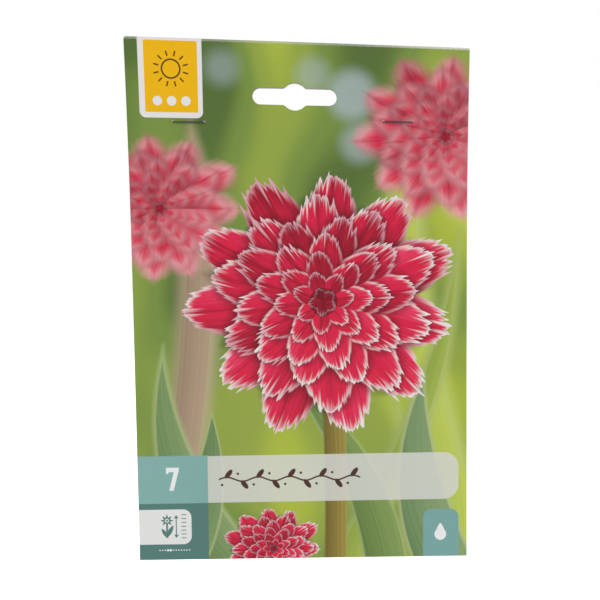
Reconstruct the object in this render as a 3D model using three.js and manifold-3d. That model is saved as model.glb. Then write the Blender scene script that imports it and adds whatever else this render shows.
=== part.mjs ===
// A retail packet of flower bulbs: a printed card folded over at the top, a clear
// film bag behind it that two staples hold, and seven bulbs in the bag.
//
// Millimetres, +Z up. The printed front faces -Y and +X is to the viewer's right.
// The origin is the middle of the hanging slot. The pieces are first laid out flat,
// with x from the card's centre line, y backwards from its front face and z from its
// bottom edge, and then settle into the lean and twist that a hanging card takes.

import * as THREE from 'three';
import { mergeVertices } from 'three/addons/utils/BufferGeometryUtils.js';
import Module from 'manifold-3d';

const wasm = await Module();
wasm.setup();

// Card
const CARD_WIDTH = 130;
const CARD_HEIGHT = 200;
const BOARD = 0.4;
const FOLD_GAP = 0.8;
const FLAP_LENGTH = 45;
const GRID = 10;
const FOLD_STEPS = 8;
const FOLDED = 2 * BOARD + FOLD_GAP;

// Hanging slot, the standard 32 mm euro slot with its round middle
const SLOT_LENGTH = 32;
const SLOT_WIDTH = 6.2;
const SLOT_BUMP_RADIUS = 5.05;
const SLOT_FILLET = 1.6;
const SLOT_SEGMENTS = 8;
const SLOT_X = -2.8;
const SLOT_Z = 180;

// Staples
const WIRE = 0.55;
const CROWN = 12;
const CLINCH = 4.6;
const WIRE_BEND = 0.6;
const WIRE_GAP = 0.15;
const WIRE_STEPS = 40;
const WIRE_SEGMENTS = 4;
const STAPLES = [
  { name: 'staple_left', x: -42.6, z: 170 },
  { name: 'staple_right', x: 37.1, z: 171.3 },
];

// Film bag
const FILM = 0.2;
const BAG_FLAT_WIDTH = 127;
const BAG_DEPTH = 36;
const BAG_BOTTOM = 6;
const BAG_TOP = 173.4;
const SEAL_TOP = 10;
const BELLY_LOW = 22;
const BELLY_HIGH = 116;
const NECK = 150;
const BAG_GAP = (FOLD_GAP - 2 * FILM) / 2;
const BAG_FLATS = 8;
const BAG_TURNS = 4;
const SEAL_RINGS = 3;
const BELLY_RINGS = 11;
const NECK_RINGS = 5;
const TOP_RINGS = 8;
const AIR_HOLE_RADIUS = 3;
const AIR_HOLE_SIDES = 16;
const AIR_HOLES = [[-30, 44], [30, 44], [0, 80], [-30, 116], [30, 116]];

// Bulbs
const BULB_RADIUS = 17;
const BULB_HEIGHT = 40;
const BULB_WIDEST = 0.38 * BULB_HEIGHT;
const ROW_PITCH = 32.2;
const BULB_PITCH = 34.5;
const FIRST_ROW = 14;
const SEAT_GAP = 0.5;
const BULB_TURNS = 18;
const BULB_CURVE_POINTS = 5;

// Settled shape of the hanging packet
const LEAN_START = 110;
const LEAN_SLOPE = 0.108;
const TWIST = 8;

const FINISH = {
  board: { color: '#b8454f', roughness: 0.35, metalness: 0 },
  steel: { color: '#8d8f92', roughness: 0.35, metalness: 1 },
  film: { color: '#dfe6ea', roughness: 0.12, metalness: 0, transparent: true, opacity: 0.25 },
  bulb: { color: '#8a5530', roughness: 0.7, metalness: 0 },
};

// How far back the card stands at a place: the header leans forward, and the left
// side stands nearer to the viewer than the right side towards the top.
function setBack(x, z) {
  const rise = Math.max(0, (z - LEAN_START) / (CARD_HEIGHT - LEAN_START));
  const lean = LEAN_SLOPE * (CARD_HEIGHT - LEAN_START) * 0.5 * rise * rise;
  const twist = TWIST * (x / (CARD_WIDTH / 2)) * (z / CARD_HEIGHT);
  return twist - lean;
}

function settle(geometry) {
  const position = geometry.getAttribute('position');
  for (let i = 0; i < position.count; i++) {
    const y = position.getY(i) + setBack(position.getX(i), position.getZ(i));
    position.setY(i, y);
  }
  return geometry;
}

// Joining and cutting

function toSolid(geometry) {
  const bare = geometry.clone();
  bare.deleteAttribute('normal');
  bare.deleteAttribute('uv');
  const merged = mergeVertices(bare, 1e-4);
  const vertProperties = new Float32Array(merged.getAttribute('position').array);
  const triVerts = new Uint32Array(merged.index.array);
  return new wasm.Manifold(new wasm.Mesh({ numProp: 3, vertProperties, triVerts }));
}

function toGeometry(solid) {
  const { vertProperties, triVerts, numProp } = solid.getMesh();
  const points = [];
  for (const corner of triVerts) {
    points.push(...vertProperties.subarray(numProp * corner, numProp * corner + 3));
  }
  const geometry = new THREE.BufferGeometry();
  geometry.setAttribute('position', new THREE.Float32BufferAttribute(points, 3));
  geometry.computeVertexNormals();
  return geometry;
}

// An outline drawn in x and z, extruded backwards from y = from to y = to.
function slab(outline, from, to) {
  const options = { depth: to - from, bevelEnabled: false, curveSegments: SLOT_SEGMENTS };
  const geometry = new THREE.ExtrudeGeometry(outline, options);
  return geometry.rotateX(Math.PI / 2).translate(0, to, 0);
}

// A closed body through rings of equal numbers of points, listed upwards. Each ring
// starts at its left end and runs counterclockwise as seen from above, and its front
// and back halves mirror each other.
function loft(rings) {
  const count = rings[0].length;
  const points = rings.flat();
  const faces = [];
  for (let r = 0; r + 1 < rings.length; r++) {
    for (let i = 0; i < count; i++) {
      const a = r * count + i;
      const b = r * count + ((i + 1) % count);
      faces.push(a, b, b + count, a, b + count, a + count);
    }
  }
  const last = (rings.length - 1) * count;
  for (let i = 0; i < count / 2; i++) {
    const near = [i, i + 1];
    const far = [(count - i) % count, count - i - 1];
    if (i > 0) faces.push(near[0], far[0], near[1], last + near[0], last + near[1], last + far[0]);
    if (i + 1 < count / 2) {
      faces.push(near[1], far[0], far[1], last + near[1], last + far[1], last + far[0]);
    }
  }
  const geometry = new THREE.BufferGeometry().setFromPoints(points);
  geometry.setIndex(faces);
  return geometry;
}

// Card

// The points of a straight run, without its end, no further apart than GRID.
function run(from, to) {
  const steps = Math.ceil(from.distanceTo(to) / GRID);
  const points = [];
  for (let i = 0; i < steps; i++) points.push(from.clone().lerp(to, i / steps));
  return points;
}

// The half circle of the fold, from one layer to the other.
function foldArc(radius, start, end) {
  const points = [];
  for (let i = 0; i < FOLD_STEPS; i++) {
    const angle = start + (end - start) * (i / FOLD_STEPS);
    const y = FOLDED / 2 + radius * Math.cos(angle);
    const z = CARD_HEIGHT - FOLDED / 2 + radius * Math.sin(angle);
    points.push(new THREE.Vector2(y, z));
  }
  return points;
}

// The folded sheet's edge, in y and z.
function cardProfile() {
  const shoulder = CARD_HEIGHT - FOLDED / 2;
  const flapEnd = CARD_HEIGHT - FLAP_LENGTH;
  const inner = FOLDED / 2 - BOARD;
  const at = (y, z) => new THREE.Vector2(y, z);
  return [
    ...run(at(BOARD, 0), at(BOARD, shoulder)),
    ...foldArc(inner, Math.PI, 0),
    ...run(at(FOLDED - BOARD, shoulder), at(FOLDED - BOARD, flapEnd)),
    at(FOLDED - BOARD, flapEnd),
    ...run(at(FOLDED, flapEnd), at(FOLDED, shoulder)),
    ...foldArc(FOLDED / 2, 0, Math.PI),
    ...run(at(0, shoulder), at(0, 0)),
    at(0, 0),
  ];
}

function slotOutline() {
  const end = SLOT_WIDTH / 2;
  const straight = SLOT_LENGTH / 2 - end;
  const filletZ = end + SLOT_FILLET;
  const reach = SLOT_BUMP_RADIUS + SLOT_FILLET;
  const filletX = Math.sqrt(reach * reach - filletZ * filletZ);
  const meet = Math.atan2(filletZ, filletX);
  const shape = new THREE.Shape();
  const turn = (x, z, radius, from, to, clockwise) =>
    shape.absarc(SLOT_X + x, SLOT_Z + z, radius, from, to, clockwise);
  turn(straight, 0, end, -Math.PI / 2, Math.PI / 2, false);
  turn(filletX, filletZ, SLOT_FILLET, -Math.PI / 2, meet - Math.PI, true);
  turn(0, 0, SLOT_BUMP_RADIUS, meet, Math.PI - meet, false);
  turn(-filletX, filletZ, SLOT_FILLET, -meet, -Math.PI / 2, true);
  turn(-straight, 0, end, Math.PI / 2, 1.5 * Math.PI, false);
  turn(-filletX, -filletZ, SLOT_FILLET, Math.PI / 2, meet, true);
  turn(0, 0, SLOT_BUMP_RADIUS, Math.PI + meet, 2 * Math.PI - meet, false);
  turn(filletX, -filletZ, SLOT_FILLET, Math.PI - meet, Math.PI / 2, true);
  return shape;
}

// The two punctures of a staple's legs, through card and film alike.
function staplePunctures(staple) {
  const size = WIRE + 2 * WIRE_GAP;
  return [-1, 1].map((side) => {
    const hole = new THREE.BoxGeometry(size, 4 * FOLDED, size);
    hole.translate(staple.x + (side * (CROWN - WIRE)) / 2, 0, staple.z);
    return toSolid(hole);
  });
}

function makeCard() {
  const options = { depth: CARD_WIDTH, steps: CARD_WIDTH / GRID, bevelEnabled: false };
  const sheet = new THREE.ExtrudeGeometry(new THREE.Shape(cardProfile()), options);
  const across = new THREE.Vector3(1, 0, 0);
  const back = new THREE.Vector3(0, 1, 0);
  const up = new THREE.Vector3(0, 0, 1);
  sheet.applyMatrix4(new THREE.Matrix4().makeBasis(back, up, across));
  sheet.translate(-CARD_WIDTH / 2, 0, 0);
  let card = toSolid(sheet).subtract(toSolid(slab(slotOutline(), -FOLDED, 2 * FOLDED)));
  for (const hole of STAPLES.flatMap(staplePunctures)) card = card.subtract(hole);
  return settle(toGeometry(card));
}

// Bag

// The bag's depth at a height: a sealed strip, the full belly and a neck that
// flattens again below the card's flap.
function bagDepth(z) {
  const flat = 2 * FILM;
  if (z <= SEAL_TOP || z >= NECK) return flat;
  let fullness = 1;
  if (z < BELLY_LOW) {
    const low = (BELLY_LOW - z) / (BELLY_LOW - SEAL_TOP);
    fullness = Math.sqrt(1 - low * low);
  } else if (z > BELLY_HIGH) {
    fullness = 0.5 + 0.5 * Math.cos((Math.PI * (z - BELLY_HIGH)) / (NECK - BELLY_HIGH));
  }
  return flat + (BAG_DEPTH - flat) * fullness;
}

// One ring of the bag, a flattened tube whose girth stays the same at every height.
function bagRing(z, wall) {
  const depth = bagDepth(z);
  const halfWidth = (2 * BAG_FLAT_WIDTH - (Math.PI - 2) * depth) / 4;
  const radius = depth / 2 - wall;
  const straight = halfWidth - depth / 2;
  const middle = BOARD + BAG_GAP + depth / 2;
  const front = [];
  for (let i = 1; i < BAG_TURNS; i++) {
    const angle = (Math.PI / 2) * (i / BAG_TURNS);
    const x = straight + radius * Math.cos(angle);
    front.push(new THREE.Vector3(-x, middle - radius * Math.sin(angle), z));
  }
  for (let i = 0; i < BAG_FLATS / 2; i++) {
    const x = straight * (1 - (2 * i) / BAG_FLATS);
    front.push(new THREE.Vector3(-x, middle - radius, z));
  }
  const left = new THREE.Vector3(-straight - radius, middle, z);
  const centre = new THREE.Vector3(0, middle - radius, z);
  const mirror = (points, sideways, backwards) =>
    points.map((p) => {
      const y = backwards ? 2 * middle - p.y : p.y;
      return new THREE.Vector3(sideways ? -p.x : p.x, y, z);
    });
  const nearSide = [...front, centre, ...mirror(front, true, false).reverse()];
  return [left, ...nearSide, ...mirror([left], true, false), ...mirror(nearSide, false, true).reverse()];
}

function heights(from, to, spacing) {
  const steps = Math.ceil((to - from) / spacing);
  return Array.from({ length: steps + 1 }, (_, i) => from + ((to - from) * i) / steps);
}

function makeBag() {
  const low = heights(SEAL_TOP, BELLY_LOW, SEAL_RINGS);
  const belly = heights(BELLY_LOW, BELLY_HIGH, BELLY_RINGS);
  const neck = heights(BELLY_HIGH, NECK, NECK_RINGS);
  const top = heights(NECK, BAG_TOP, TOP_RINGS);
  const levels = [BAG_BOTTOM, ...low, ...belly.slice(1), ...neck.slice(1), ...top.slice(1)];
  const inside = [...low.slice(1), ...belly.slice(1), ...neck.slice(1, -1)];
  let bag = toSolid(loft(levels.map((z) => bagRing(z, 0))));
  bag = bag.subtract(toSolid(loft(inside.map((z) => bagRing(z, FILM)))));
  for (const [x, z] of AIR_HOLES) {
    const radius = AIR_HOLE_RADIUS;
    const hole = new THREE.CylinderGeometry(radius, radius, BAG_DEPTH, AIR_HOLE_SIDES);
    hole.translate(x, BAG_DEPTH, z);
    bag = bag.subtract(toSolid(hole));
  }
  for (const hole of STAPLES.flatMap(staplePunctures)) bag = bag.subtract(hole);
  return settle(toGeometry(bag));
}

// Staples

// One closed staple: the crown on the front, legs through both layers of the card,
// and the ends clinched inwards behind the flap.
function makeStaple({ x, z }) {
  const front = -WIRE / 2 - WIRE_GAP;
  const rear = FOLDED + WIRE / 2 + WIRE_GAP;
  const leg = (CROWN - WIRE) / 2;
  const at = (px, py) => new THREE.Vector3(px, py, 0);
  const path = new THREE.CurvePath();
  const corners = [
    at(-leg + CLINCH, rear),
    at(-leg, rear + WIRE),
    at(-leg, front),
    at(leg, front),
    at(leg, rear + WIRE),
    at(leg - CLINCH, rear),
  ];
  let from = corners[0];
  for (let i = 1; i + 1 < corners.length; i++) {
    const corner = corners[i];
    const into = corner.clone().sub(corners[i - 1]).setLength(WIRE_BEND);
    const out = corners[i + 1].clone().sub(corner).setLength(WIRE_BEND);
    const start = corner.clone().sub(into);
    const end = corner.clone().add(out);
    path.add(new THREE.LineCurve3(from, start));
    path.add(new THREE.QuadraticBezierCurve3(start, corner, end));
    from = end;
  }
  path.add(new THREE.LineCurve3(from, corners[corners.length - 1]));
  const wire = new THREE.Shape().absarc(0, 0, WIRE / 2, 0, 2 * Math.PI, false);
  const options = {
    extrudePath: path,
    steps: WIRE_STEPS,
    curveSegments: WIRE_SEGMENTS,
    bevelEnabled: false,
  };
  return settle(new THREE.ExtrudeGeometry(wire, options).translate(x, 0, z));
}

// Bulbs

// Half the outline of a bulb, from the root plate on its axis to the nose.
function bulbProfile() {
  const outline = new THREE.Path();
  const r = BULB_RADIUS;
  const h = BULB_HEIGHT;
  outline.moveTo(0, 0);
  outline.lineTo(0.3 * r, 0);
  outline.bezierCurveTo(0.8 * r, 0.03 * h, r, 0.2 * h, r, BULB_WIDEST);
  outline.bezierCurveTo(r, 0.62 * h, 0.5 * r, 0.74 * h, 0.22 * r, 0.9 * h);
  outline.quadraticCurveTo(0.1 * r, h, 0, h);
  return outline.getPoints(BULB_CURVE_POINTS);
}

// The seven bulbs lie in rows of two, three and two. Each has its own size, and leans
// sideways and backwards by its own small angle, in degrees. A bulb's own origin is on
// its axis at its widest height.
const BULBS = [
  { row: 0, place: -0.5, size: 1, side: -1, back: -4 },
  { row: 0, place: 0.5, size: 0.98, side: 2, back: 5 },
  { row: 1, place: -1, size: 0.97, side: -5, back: 3 },
  { row: 1, place: 0, size: 1, side: 1, back: -5 },
  { row: 1, place: 1, size: 0.97, side: 6, back: 2 },
  { row: 2, place: -0.5, size: 1, side: 7, back: 4 },
  { row: 2, place: 0.5, size: 0.98, side: -9, back: -6 },
];

function makeBulb({ row, place, size, side, back }) {
  const geometry = new THREE.LatheGeometry(bulbProfile(), BULB_TURNS);
  geometry.rotateX(Math.PI / 2);
  geometry.translate(0, 0, -BULB_WIDEST);
  const x = place * BULB_PITCH;
  const z = FIRST_ROW + row * ROW_PITCH + BULB_WIDEST;
  const y = BOARD + BAG_GAP + BAG_DEPTH - FILM - SEAT_GAP - BULB_RADIUS * size;
  const mesh = new THREE.Mesh(geometry);
  mesh.scale.setScalar(size);
  mesh.rotation.y = THREE.MathUtils.degToRad(side);
  mesh.rotation.x = THREE.MathUtils.degToRad(-back);
  mesh.position.set(x, y + setBack(x, z), z);
  return mesh;
}

// Assembly

function named(mesh, name, finish) {
  mesh.name = name;
  mesh.material = new THREE.MeshStandardMaterial(finish);
  return mesh;
}

const packet = new THREE.Group();
packet.add(named(new THREE.Mesh(makeCard()), 'printed_card', FINISH.board));
packet.add(named(new THREE.Mesh(makeBag()), 'film_bag', FINISH.film));
for (const staple of STAPLES) {
  packet.add(named(new THREE.Mesh(makeStaple(staple)), staple.name, FINISH.steel));
}
BULBS.forEach((bulb, i) => {
  packet.add(named(makeBulb(bulb), `bulb_${i + 1}`, FINISH.bulb));
});
packet.position.set(-SLOT_X, -FOLDED / 2 - setBack(SLOT_X, SLOT_Z), -SLOT_Z);

const part = new THREE.Group();
part.add(packet);

export default part;
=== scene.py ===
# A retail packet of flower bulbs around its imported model: the printed card, the film
# bag, the seven bulbs in it and the two staples, with a plain studio and the camera.
#
# Sizes are in millimetres in the flat layout, with x from the card's centre line, y
# backwards from its front face and z up from its bottom edge. place() takes a flat point
# to the frame, in metres, with the lean and the twist of the hanging packet.
import math

import bmesh
import bpy
import numpy as np
from mathutils import Matrix, Vector, geometry


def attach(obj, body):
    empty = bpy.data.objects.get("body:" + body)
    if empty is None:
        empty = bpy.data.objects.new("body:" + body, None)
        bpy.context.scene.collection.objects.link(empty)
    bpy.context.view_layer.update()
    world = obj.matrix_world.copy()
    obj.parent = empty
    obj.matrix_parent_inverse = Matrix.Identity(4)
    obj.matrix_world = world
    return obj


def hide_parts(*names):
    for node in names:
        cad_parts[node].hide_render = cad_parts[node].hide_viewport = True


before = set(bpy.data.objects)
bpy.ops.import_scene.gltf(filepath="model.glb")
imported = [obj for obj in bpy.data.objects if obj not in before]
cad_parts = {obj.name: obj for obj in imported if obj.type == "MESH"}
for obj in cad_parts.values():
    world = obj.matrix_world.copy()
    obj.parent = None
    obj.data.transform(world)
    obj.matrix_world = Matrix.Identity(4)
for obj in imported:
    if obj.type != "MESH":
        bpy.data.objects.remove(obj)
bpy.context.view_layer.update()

MM = 0.001

# Card
CARD_WIDTH = 130
CARD_HEIGHT = 200
BOARD = 0.4
FOLD_GAP = 0.8
FOLDED = 2 * BOARD + FOLD_GAP
FLAP_LENGTH = 45

# Hanging slot, with its round middle
SLOT_LENGTH = 32
SLOT_WIDTH = 6.2
SLOT_BUMP_RADIUS = 5.05
SLOT_FILLET = 1.6
SLOT_X = -2.8
SLOT_Z = 180

# Staples, and the square holes that their legs make
STAPLES = [("staple_left", -42.6, 170), ("staple_right", 37.1, 171.3)]
WIRE = 0.55
CROWN = 12
LEG_ASIDE = (CROWN - WIRE) / 2
CLINCH = 4.6
PUNCTURE = 0.62

# Film bag
BAG_FLAT_WIDTH = 127
BAG_DEPTH = 36
BAG_BOTTOM = 6
BAG_TOP = 173.4
SEAL_TOP = 10
BELLY_LOW = 22
BELLY_HIGH = 116
NECK = 150
BAG_GAP = 0.2
BAG_FRONT = BOARD + BAG_GAP
FLAT_DEPTH = 0.4
FILM = 0.1
WELD_RIB = 0.9
AIR_HOLE_RADIUS = 3
AIR_HOLES = [(-30, 44), (30, 44), (0, 80), (-30, 116), (30, 116)]

# Bulbs, whose widest place is a share of their height
BULB_RADIUS = 17
BULB_HEIGHT = 40
BULB_WIDEST = 0.38
ROW_PITCH = 32.2
BULB_PITCH = 34.5
FIRST_ROW = 14
PACKED_FILM = 0.2
SEAT_GAP = 0.5

# Each bulb's row, place in the row, size, and sideways and backwards lean in degrees
BULBS = [
    (0, -0.5, 1.00, -1, -4),
    (0, 0.5, 0.98, 2, 5),
    (1, -1, 0.97, -5, 3),
    (1, 0, 1.00, 1, -5),
    (1, 1, 0.97, 6, 2),
    (2, -0.5, 1.00, 7, 4),
    (2, 0.5, 0.98, -9, -6),
]

# A bulb's outline from its root plate to its nose: share of the way, radius and height
BULB_OUTLINE = [
    (0.00, 0.00, 0.012),
    (0.06, 0.20, 0.000),
    (0.12, 0.40, 0.010),
    (0.22, 0.74, 0.075),
    (0.33, 0.94, 0.210),
    (0.45, 1.00, 0.380),
    (0.60, 0.88, 0.580),
    (0.72, 0.62, 0.735),
    (0.82, 0.37, 0.840),
    (0.90, 0.20, 0.915),
    (0.96, 0.09, 0.970),
    (1.00, 0.00, 1.000),
]

# Settled shape of the hanging packet
LEAN_START = 110
LEAN_SLOPE = 0.108
TWIST = 8


def set_back(x, z):
    """How far back the card stands at a place, in millimetres."""
    rise = np.maximum(0, (z - LEAN_START) / (CARD_HEIGHT - LEAN_START))
    lean = LEAN_SLOPE * (CARD_HEIGHT - LEAN_START) * 0.5 * rise * rise
    return TWIST * (x / (CARD_WIDTH / 2)) * (z / CARD_HEIGHT) - lean


ORIGIN = np.array([SLOT_X, FOLDED / 2 + set_back(SLOT_X, SLOT_Z), SLOT_Z])


def place(points):
    """Flat points in millimetres, settled and moved to the frame, in metres."""
    flat = np.array(points, float).reshape(-1, 3)
    flat[:, 1] += set_back(flat[:, 0], flat[:, 2])
    return (flat - ORIGIN) * MM


# Camera, at the photograph's viewing angle

CAMERA_ROLL = math.radians(1.3214)
CAMERA_PITCH = math.radians(3.8667)
CAMERA_YAW = math.radians(-0.3551)
CAMERA_DISTANCE = 300
CAMERA_ASIDE = 1.1776
CAMERA_RAISED = -2.8045
CAMERA_AIM = Vector((0, 0, CARD_HEIGHT / 2))
LENS = 46.27
SENSOR = 36
NEAREST_SEEN = 0.01


def make_camera():
    turn = (
        Matrix.Rotation(CAMERA_ROLL, 3, "Z")
        @ Matrix.Rotation(CAMERA_PITCH, 3, "X")
        @ Matrix.Rotation(CAMERA_YAW, 3, "Y")
    ).transposed()
    offset = Vector((CAMERA_ASIDE, CAMERA_DISTANCE, CAMERA_RAISED))
    eye = (CAMERA_AIM - turn @ offset - Vector(ORIGIN)) * MM
    data = bpy.data.cameras.new("camera")
    data.lens = LENS
    data.sensor_width = SENSOR
    data.clip_start = NEAREST_SEEN
    camera = bpy.data.objects.new("camera", data)
    right, ahead, up = (turn @ Vector(axis) for axis in ((1, 0, 0), (0, 1, 0), (0, 0, 1)))
    facing = Matrix((right, up, -ahead)).transposed().to_4x4()
    camera.matrix_world = Matrix.Translation(eye) @ facing
    bpy.context.scene.collection.objects.link(camera)
    bpy.context.scene.camera = camera


# Arithmetic on node sockets


class Field:
    """A value that changes over a surface, as an output of a node."""

    def __init__(self, socket):
        self.socket = socket

    def __add__(self, other):
        return calculate("ADD", self, other)

    def __sub__(self, other):
        return calculate("SUBTRACT", self, other)

    def __rsub__(self, other):
        return calculate("SUBTRACT", other, self)

    def __mul__(self, other):
        return calculate("MULTIPLY", self, other)

    def __truediv__(self, other):
        return calculate("DIVIDE", self, other)

    def __neg__(self):
        return calculate("MULTIPLY", self, -1)

    def __pow__(self, other):
        return calculate("POWER", self, other)

    def __abs__(self):
        return calculate("ABSOLUTE", self)

    __radd__ = __add__
    __rmul__ = __mul__


def feed(socket, value):
    """Links a field to a socket, or sets the socket to a plain value."""
    if isinstance(value, Field):
        socket.id_data.links.new(value.socket, socket)
    else:
        socket.default_value = value


def fill(node, **values):
    """Feeds a node's inputs, whose names have _ for a space."""
    for name, value in values.items():
        feed(node.inputs[name.replace("_", " ")], value)


def node_in(tree, kind, settings=None, **inputs):
    """A new node with its settings and inputs."""
    node = tree.nodes.new(kind)
    for name, value in (settings or {}).items():
        setattr(node, name, value)
    fill(node, **inputs)
    return node


def out(node, name=0):
    return Field(node.outputs[name])


def tree_of(*values):
    return next(v.socket.id_data for v in values if isinstance(v, Field))


def calculate(operation, *values):
    node = node_in(tree_of(*values), "ShaderNodeMath", {"operation": operation})
    for socket, value in zip(node.inputs, values):
        feed(socket, value)
    return out(node)


def least(a, b):
    return calculate("MINIMUM", a, b)


def most(a, b):
    return calculate("MAXIMUM", a, b)


def sine(angle):
    return calculate("SINE", angle)


def cosine(angle):
    return calculate("COSINE", angle)


def floor(value):
    return calculate("FLOOR", value)


def fraction(value):
    return calculate("FRACT", value)


def hypotenuse(a, b):
    return calculate("SQRT", a * a + b * b)


def clamped(value):
    return out(node_in(tree_of(value), "ShaderNodeClamp", Value=value))


def ease(value, low, high, start=0.0, end=1.0):
    """Goes smoothly from start to end as the value goes from low to high."""
    tree = tree_of(value, low, high)
    limits = dict(From_Min=low, From_Max=high, To_Min=start, To_Max=end)
    node = node_in(tree, "ShaderNodeMapRange", {"interpolation_type": "SMOOTHSTEP"}, Value=value, **limits)
    return out(node, "Result")


def vector(x, y, z=0.0):
    return out(node_in(tree_of(x, y, z), "ShaderNodeCombineXYZ", X=x, Y=y, Z=z))


def parts(value):
    """The three numbers of a vector."""
    node = node_in(tree_of(value), "ShaderNodeSeparateXYZ", Vector=value)
    return [Field(socket) for socket in node.outputs]


def cloud(where, scale=1.0, detail=2.0, roughness=0.5, dimensions="3D", distortion=0.0):
    """Smooth noise from 0 to 1."""
    node = node_in(tree_of(where), "ShaderNodeTexNoise", {"noise_dimensions": dimensions}, Vector=where)
    fill(node, Scale=scale, Detail=detail, Roughness=roughness, Distortion=distortion)
    return out(node)


def streaks(where, detail=2.0):
    """Smooth noise from 0 to 1 along a single number."""
    node = node_in(tree_of(where), "ShaderNodeTexNoise", {"noise_dimensions": "1D"}, W=where)
    fill(node, Scale=1.0, Detail=detail)
    return out(node)


def chance(value):
    """Three numbers from 0 to 1 that depend on the value alone."""
    tree = tree_of(value)
    noise = node_in(tree, "ShaderNodeTexWhiteNoise", {"noise_dimensions": "1D"}, W=value)
    maker = "Shader" if tree.type == "SHADER" else "Function"
    split = node_in(tree, maker + "NodeSeparateColor", Color=out(noise, "Color"))
    return [Field(socket) for socket in split.outputs[:3]]


def blend(under, over, mask, kind="MIX"):
    """The colour over on the colour under, where the mask is 1."""
    settings = {"data_type": "RGBA", "blend_type": kind}
    node = node_in(tree_of(under, over, mask), "ShaderNodeMix", settings)
    for socket, value in zip((node.inputs[0], node.inputs[6], node.inputs[7]), (mask, under, over)):
        feed(socket, value)
    return out(node, 2)


def ramp(value, stops):
    """A colour that runs through the stops, each a position and a colour."""
    node = node_in(tree_of(value), "ShaderNodeValToRGB")
    node.color_ramp.interpolation = "EASE"
    elements = node.color_ramp.elements
    while len(elements) < len(stops):
        elements.new(0.5)
    for element, (position, code) in zip(elements, stops):
        element.position = position
        element.color = colour(code)
    feed(node.inputs[0], value)
    return out(node, "Color")


def colour(code):
    """A colour in Blender's linear values, from the usual six hexadecimal digits."""
    levels = [int(code[i : i + 2], 16) / 255 for i in (0, 2, 4)]
    return (*[c / 12.92 if c <= 0.04045 else ((c + 0.055) / 1.055) ** 2.4 for c in levels], 1.0)


def bump(height, strength, distance):
    node = node_in(tree_of(height), "ShaderNodeBump", Height=height, Strength=strength, Distance=distance)
    return out(node, "Normal")


# Node groups and geometry trees

GEOMETRY = "geometry"


def socket_kind(value):
    """The kind of socket that holds a value."""
    if value is GEOMETRY:
        return "NodeSocketGeometry"
    if isinstance(value, tuple):
        return "NodeSocketColor" if len(value) == 4 else "NodeSocketVector"
    kinds = {float: "NodeSocketFloat", int: "NodeSocketInt", bpy.types.Material: "NodeSocketMaterial"}
    return kinds[type(value)]


def make_tree(kind, name, inputs, outputs, build):
    """A node tree with named inputs and outputs, each given with a value of its kind.

    Build takes the inputs, as a dict of fields, and returns the outputs in order."""
    tree = bpy.data.node_groups.new(name, kind)
    for direction, sockets in (("INPUT", inputs), ("OUTPUT", outputs)):
        for label, value in sockets.items():
            socket = tree.interface.new_socket(label, in_out=direction, socket_type=socket_kind(value))
            if direction == "INPUT" and value is not GEOMETRY:
                socket.default_value = value
    start = tree.nodes.new("NodeGroupInput")
    made = build({label: Field(start.outputs[label]) for label in inputs})
    end = tree.nodes.new("NodeGroupOutput")
    for socket, value in zip(end.inputs, made):
        feed(socket, value)
    return tree


def use(group, tree, **values):
    """Places a shader group in a tree with its own values, and returns its outputs."""
    node = node_in(tree, "ShaderNodeGroup", {"node_tree": group}, **values)
    made = [Field(socket) for socket in node.outputs]
    return made[0] if len(made) == 1 else made


def through(mesh, kind, settings=None, **inputs):
    """A geometry after one more geometry node."""
    return out(node_in(tree_of(mesh), "GeometryNode" + kind, settings, Geometry=mesh, **inputs))


def joined(*meshes):
    whole = node_in(tree_of(*meshes), "GeometryNodeJoinGeometry")
    for mesh in meshes:
        feed(whole.inputs[0], mesh)
    return out(whole)


def run_builder(tree, source, **values):
    """The plain mesh that a geometry tree makes of a source object, which is then removed."""
    modifier = source.modifiers.new("build", "NODES")
    modifier.node_group = tree
    for item in tree.interface.items_tree:
        label = item.name.replace(" ", "_")
        if item.in_out == "INPUT" and label in values:
            modifier[item.identifier] = values[label]
    evaluated = source.evaluated_get(bpy.context.evaluated_depsgraph_get())
    mesh = bpy.data.meshes.new_from_object(evaluated)
    bpy.data.objects.remove(source)
    return mesh


# Print: flowers

WHITE = (1.0, 1.0, 1.0, 1.0)
PETAL_STOPS = [(0.0, "600A1E"), (0.25, "AE1430"), (0.5, "E6214A"), (0.78, "F8426A"), (1.0, "FF8CA2")]
FRINGE = colour("FCF6F3")
FRINGE_SHADE = colour("E6A9B6")
SHADOW = colour("2A0A16")
LIGHT_TURN = math.radians(120)

RING_COUNT = 7
RING_CROWDING = 1.15
OUTER_PETALS = 11
PETAL_BREADTH = 2.5
PETAL_LENGTH = 3.0


def petal_light(given, along, side, size, brightness):
    """How brightly a place on a petal is lit: the petals cup, with a groove along their middle."""
    heading = given["Turn"] * (2 * math.pi) - LIGHT_TURN
    lit_across = clamped(side * 0.5 + 0.5) * sine(heading)
    lit_along = cosine(heading) * (along - 0.35)
    groove = ease(abs(side), 0.0, 0.22, -0.12, 0.0)
    lit = lit_across * 0.6 - sine(heading) * 0.3 + lit_along * 0.24 + groove + 0.46
    return (lit + brightness) * (size * 0.3 + 0.82)


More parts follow.
